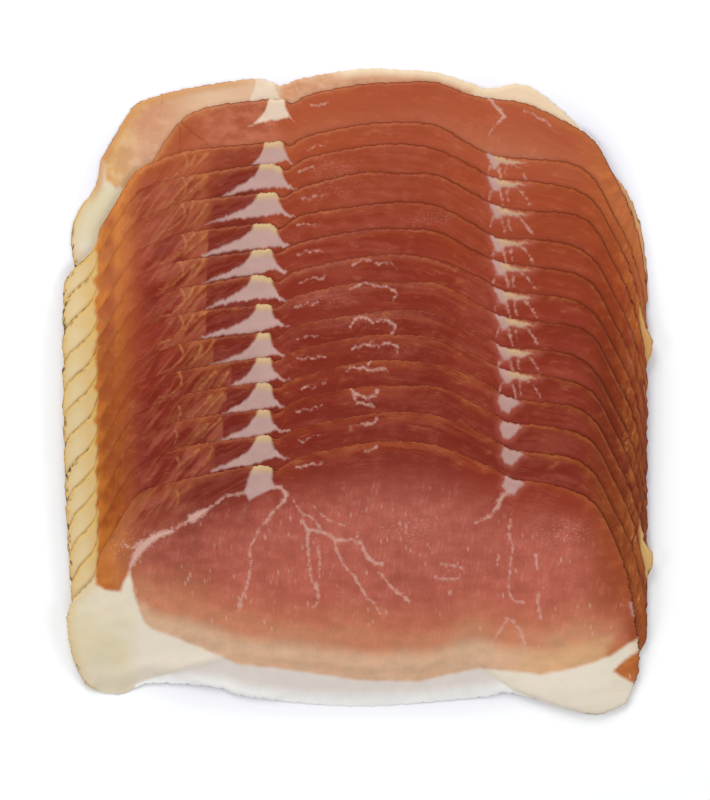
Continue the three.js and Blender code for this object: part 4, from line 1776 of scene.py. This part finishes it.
    def fat(self, color: Socket) -> Socket:
        """The fat: yellow to lilac at the seams, cream at the corner, white where a single layer lies.

        Args:
            color: The colour so far.

        Returns:
            The colour of lean and fat.
        """
        s, look = self.shader, self.look
        x, number, rim, right, mottle = self.x, self.number, self.rim, self.right, self.mottle
        uneven = (mottle - 0.5) + (self.grain - 0.5) * 0.6
        strip = (x.rising(-62.0, -44.0) * x.rising(-22.0, -26.0) * 0.55).larger(mottle.rising(0.4, 0.7) * 0.3)
        pale = (x.rising(-12.0, -2.0) * rim.rising(3.6, 0.6).larger(x.rising(36.0, 42.0))).larger(strip)
        color = s.mix(pale * x.rising(74.0, 66.0) * self.hindmost * 0.85, color, look.pale_edge)
        halo = s.number("seam").rising(-2.6, 0.2) * right * number.rising(2.0, 4.0)
        color = s.mix(halo * 0.5, color, look.haze_tone)
        golden = self.below.rising(3.2, 0.3) * (1.0 - right * x.rising(49.0, 45.5))
        golden = golden * (1.0 - right * number.rising(11.4, 11.6))
        seam = s.mix(golden, look.seam_lilac, look.seam_yellow)
        seam = s.mix(number.rising(3.0, 1.6), seam, look.pale_fat)
        seam = s.scaled(seam, 0.96 + (mottle - 0.5) * 0.3)
        soft = (s.number("seam") + uneven * (0.6 + right * 0.8)).rising(-0.6, 0.5)
        color = s.mix(soft * (0.95 - right * 0.12), color, seam)
        whiter = x.rising(34.0, 42.0) * x.rising(84.0, 74.0)
        whiter = whiter.larger(x.rising(-72.0, -64.0) * x.rising(0.0, -2.0))
        whiter = (self.broad.rising(0.35, 0.65) * 0.7).larger(whiter * 0.75)
        corner = s.mix(whiter, look.corner_fat, look.corner_white)
        rope = s.mix(x.rising(-84.0, -78.5) * 0.7 + (mottle - 0.5) * 0.9, look.rope_fat, look.rope_gold)
        rope = s.mix(right * (0.35 + number.rising(9.0, 6.0) * 0.4), rope, look.gilt_tone)
        corner = s.mix((1.0 - self.front) * number.rising(1.2, 3.0), corner, rope)
        yellow = self.gold * 0.3 * rim.rising(4.0, 0.0) + mottle.rising(0.55, 0.8) * 0.25
        corner = s.mix(yellow, corner, look.corner_gold)
        white = s.mix(rim.rising(0.5, 5.5), look.single_fat, look.single_shade)
        corner = s.mix(s.number("single").rising(-0.5, 0.3), corner, white)
        corner = s.scaled(corner, 1.0 + (mottle - 0.5) * 0.16)
        return s.mix((s.number("corner") + uneven).rising(-0.8, 0.7), color, corner)

    def rind(self, color: Socket) -> Socket:
        """The brown line of the smoked rind at the left rim and its black specks.

        Args:
            color: The colour so far.

        Returns:
            The colour with the rind.
        """
        s, look = self.shader, self.look
        x, left, rim, mottle = self.x, -self.x, self.rim, self.mottle
        outer = left.rising(77.0, 79.0)
        gilded = outer * rim.rising(1.3, 0.1) * (0.5 + mottle * 0.6) * (1.0 - self.front * 0.6)
        color = s.mix(gilded, color, look.corner_gold)
        hindmost = self.hindmost * left.rising(26.0, 40.0) * x.rising(-82.0, -77.0)
        color = s.mix(hindmost * rim.rising(3.0, 0.2) * 0.75, color, look.gilt_tone)
        outermost = outer * (0.35 + left.rising(82.0, 86.0) * 0.65)
        line = rim.rising(0.4, 0.1) * (outermost + hindmost + x.rising(62.0, 72.0)) * mottle.rising(0.35, 0.7)
        color = s.mix(line * 0.7, color, look.rind_tone)
        specks = s.cells(self.place, look.specks).rising(0.5, 0.3) * self.broad.rising(0.4, 0.52)
        specks = specks * rim.rising(1.4, 0.3) * left.rising(78.0, 81.0)
        specks = specks * (0.4 + left.rising(82.0, 85.5) * 0.6)
        return s.mix(specks * 0.85, color, look.pepper)


@dataclass(frozen=True)
class Studio:
    """White floor with a painted soft shadow round the fan, soft lights on all sides and a camera straight
    above.
    """

    view_width: float = 212.8  # what the picture's width takes in, in millimetres
    picture: tuple[int, int] = (710, 800)
    view_middle: tuple[float, float] = (-0.75, -2.1)
    camera_height: float = 2500.0
    meat_height: float = 9.0
    sensor: float = 36.0
    sky_tint: Color = (0.93, 0.96, 1.0, 1.0)
    sky_strength: float = 0.33
    floor_white: Color = (0.95, 0.95, 0.95, 1.0)
    # Colour of the painted soft shadow on the floor round the fan.
    floor_tint: Color = (0.8, 0.79, 0.84, 1.0)
    floor_glow: float = 0.045
    tint_reach: tuple[float, float] = (0.0905, 0.0985)  # half sides of the square of painted shadow, in metres
    tint_fade: tuple[float, float] = (1.09, 0.7)  # where the painted shadow begins and is full
    # Square lights: name, place and length of the sides in metres, and power in watts.
    lamps: tuple[tuple[str, tuple[float, float, float], float, float], ...] = (
        ("light_behind", (-0.25, 1.0, 0.75), 0.6, 8.6),
        ("light_left", (-1.0, 0.1, 0.65), 0.5, 4.6),
        ("light_right", (1.0, 0.1, 0.75), 0.5, 4.2),
        ("light_front", (0.1, -0.95, 0.8), 0.6, 3.2),
    )

    def floor_finish(self) -> bpy.types.Material:
        """Makes the floor's white, with a painted soft shadow round the fan: a faint blue tint inside a
        rounded square.

        The square is where the sum of the fourth powers of the place across and along, each as a share
        of the square's half side, is small.

        Returns:
            The material.
        """
        s = Shader("white_floor")
        x, y, _ = s.parted(s.node("ShaderNodeTexCoord").outputs["Object"])
        across, along = x / self.tint_reach[0], y / self.tint_reach[1]
        across, along = across * across, along * along
        # Share of the painted shadow, full close round the fan.
        near = (across * across + along * along).rising(*self.tint_fade)
        return s.surfaced(
            Base_Color=s.mix(near, self.floor_white, self.floor_tint),
            Roughness=0.9,
            Specular_IOR_Level=0.1,
            Emission_Color=(1.0, 1.0, 1.0, 1.0),
            Emission_Strength=self.floor_glow,
        )

    def floor(self) -> None:
        """Makes the floor: a square grid of two metres, level with the lowest slice's underside."""
        side = np.linspace(-1.0, 1.0, 9)
        y, x = np.meshgrid(side, side, indexing="ij")
        points = np.stack([x, y, np.zeros_like(x)], -1).reshape(-1, 3)
        index = np.arange(points.shape[0]).reshape(x.shape)
        cells = np.stack([index[:-1, :-1], index[:-1, 1:], index[1:, 1:], index[1:, :-1]], -1)
        mesh = bpy.data.meshes.new("white_floor")
        mesh.from_pydata(points, [], cells.reshape(-1, 4).tolist())
        mesh.materials.append(self.floor_finish())
        add_object("white_floor", mesh)

    def sky(self) -> None:
        """Gives the world an even, slightly blue light."""
        world = bpy.data.worlds.new("soft_sky")
        world.use_nodes = True
        background = world.node_tree.nodes["Background"]
        background.inputs["Color"].default_value = self.sky_tint
        background.inputs["Strength"].default_value = self.sky_strength
        bpy.context.scene.world = world

    def lamp(self, label: str, place: tuple[float, float, float], size: float, power: float) -> None:
        """Makes one soft square light that points at the meat.

        Args:
            label: Name of the light.
            place: Where it stands, in metres.
            size: Length of its sides, in metres.
            power: Its power in watts.
        """
        light = bpy.data.lights.new(label, "AREA")
        light.shape = "SQUARE"
        light.size = size
        light.energy = power
        made = add_object(label, light)
        made.location = place
        made.rotation_euler = (-Vector(place)).to_track_quat("-Z", "Y").to_euler()

    def camera(self) -> None:
        """Makes the camera straight above the fan, with the photograph's frame."""
        view_height = self.view_width * self.picture[1] / self.picture[0]
        data = bpy.data.cameras.new("camera_above")
        data.sensor_width = self.sensor
        data.lens = self.sensor * (self.camera_height - self.meat_height) / view_height
        made = add_object("camera_above", data)
        made.location = Vector((*self.view_middle, self.camera_height)) * METRES
        bpy.context.scene.camera = made

    def build(self) -> None:
        """Makes the floor, the lights and the camera, and keeps the colours as they are worked out."""
        self.floor()
        self.sky()
        for lamp in self.lamps:
            self.lamp(*lamp)
        self.camera()
        bpy.context.scene.view_settings.view_transform = "Standard"
        bpy.context.scene.view_settings.look = "None"


def main() -> None:
    """Builds the stage and the slices, and reports each one's number of faces."""
    logging.basicConfig(level=logging.INFO, format="%(message)s")
    Studio().build()
    fan = Fan()
    outline = Outline(fan)
    marbling = Marbling(fan)
    finish = CuredMeat().material()
    for number in range(1, fan.count + 1):
        piece = Slice(number, fan, outline, marbling).build(finish)
        LOG.info("%s: %d faces", piece.name, len(piece.data.polygons))


if __name__ == "__main__":
    main()
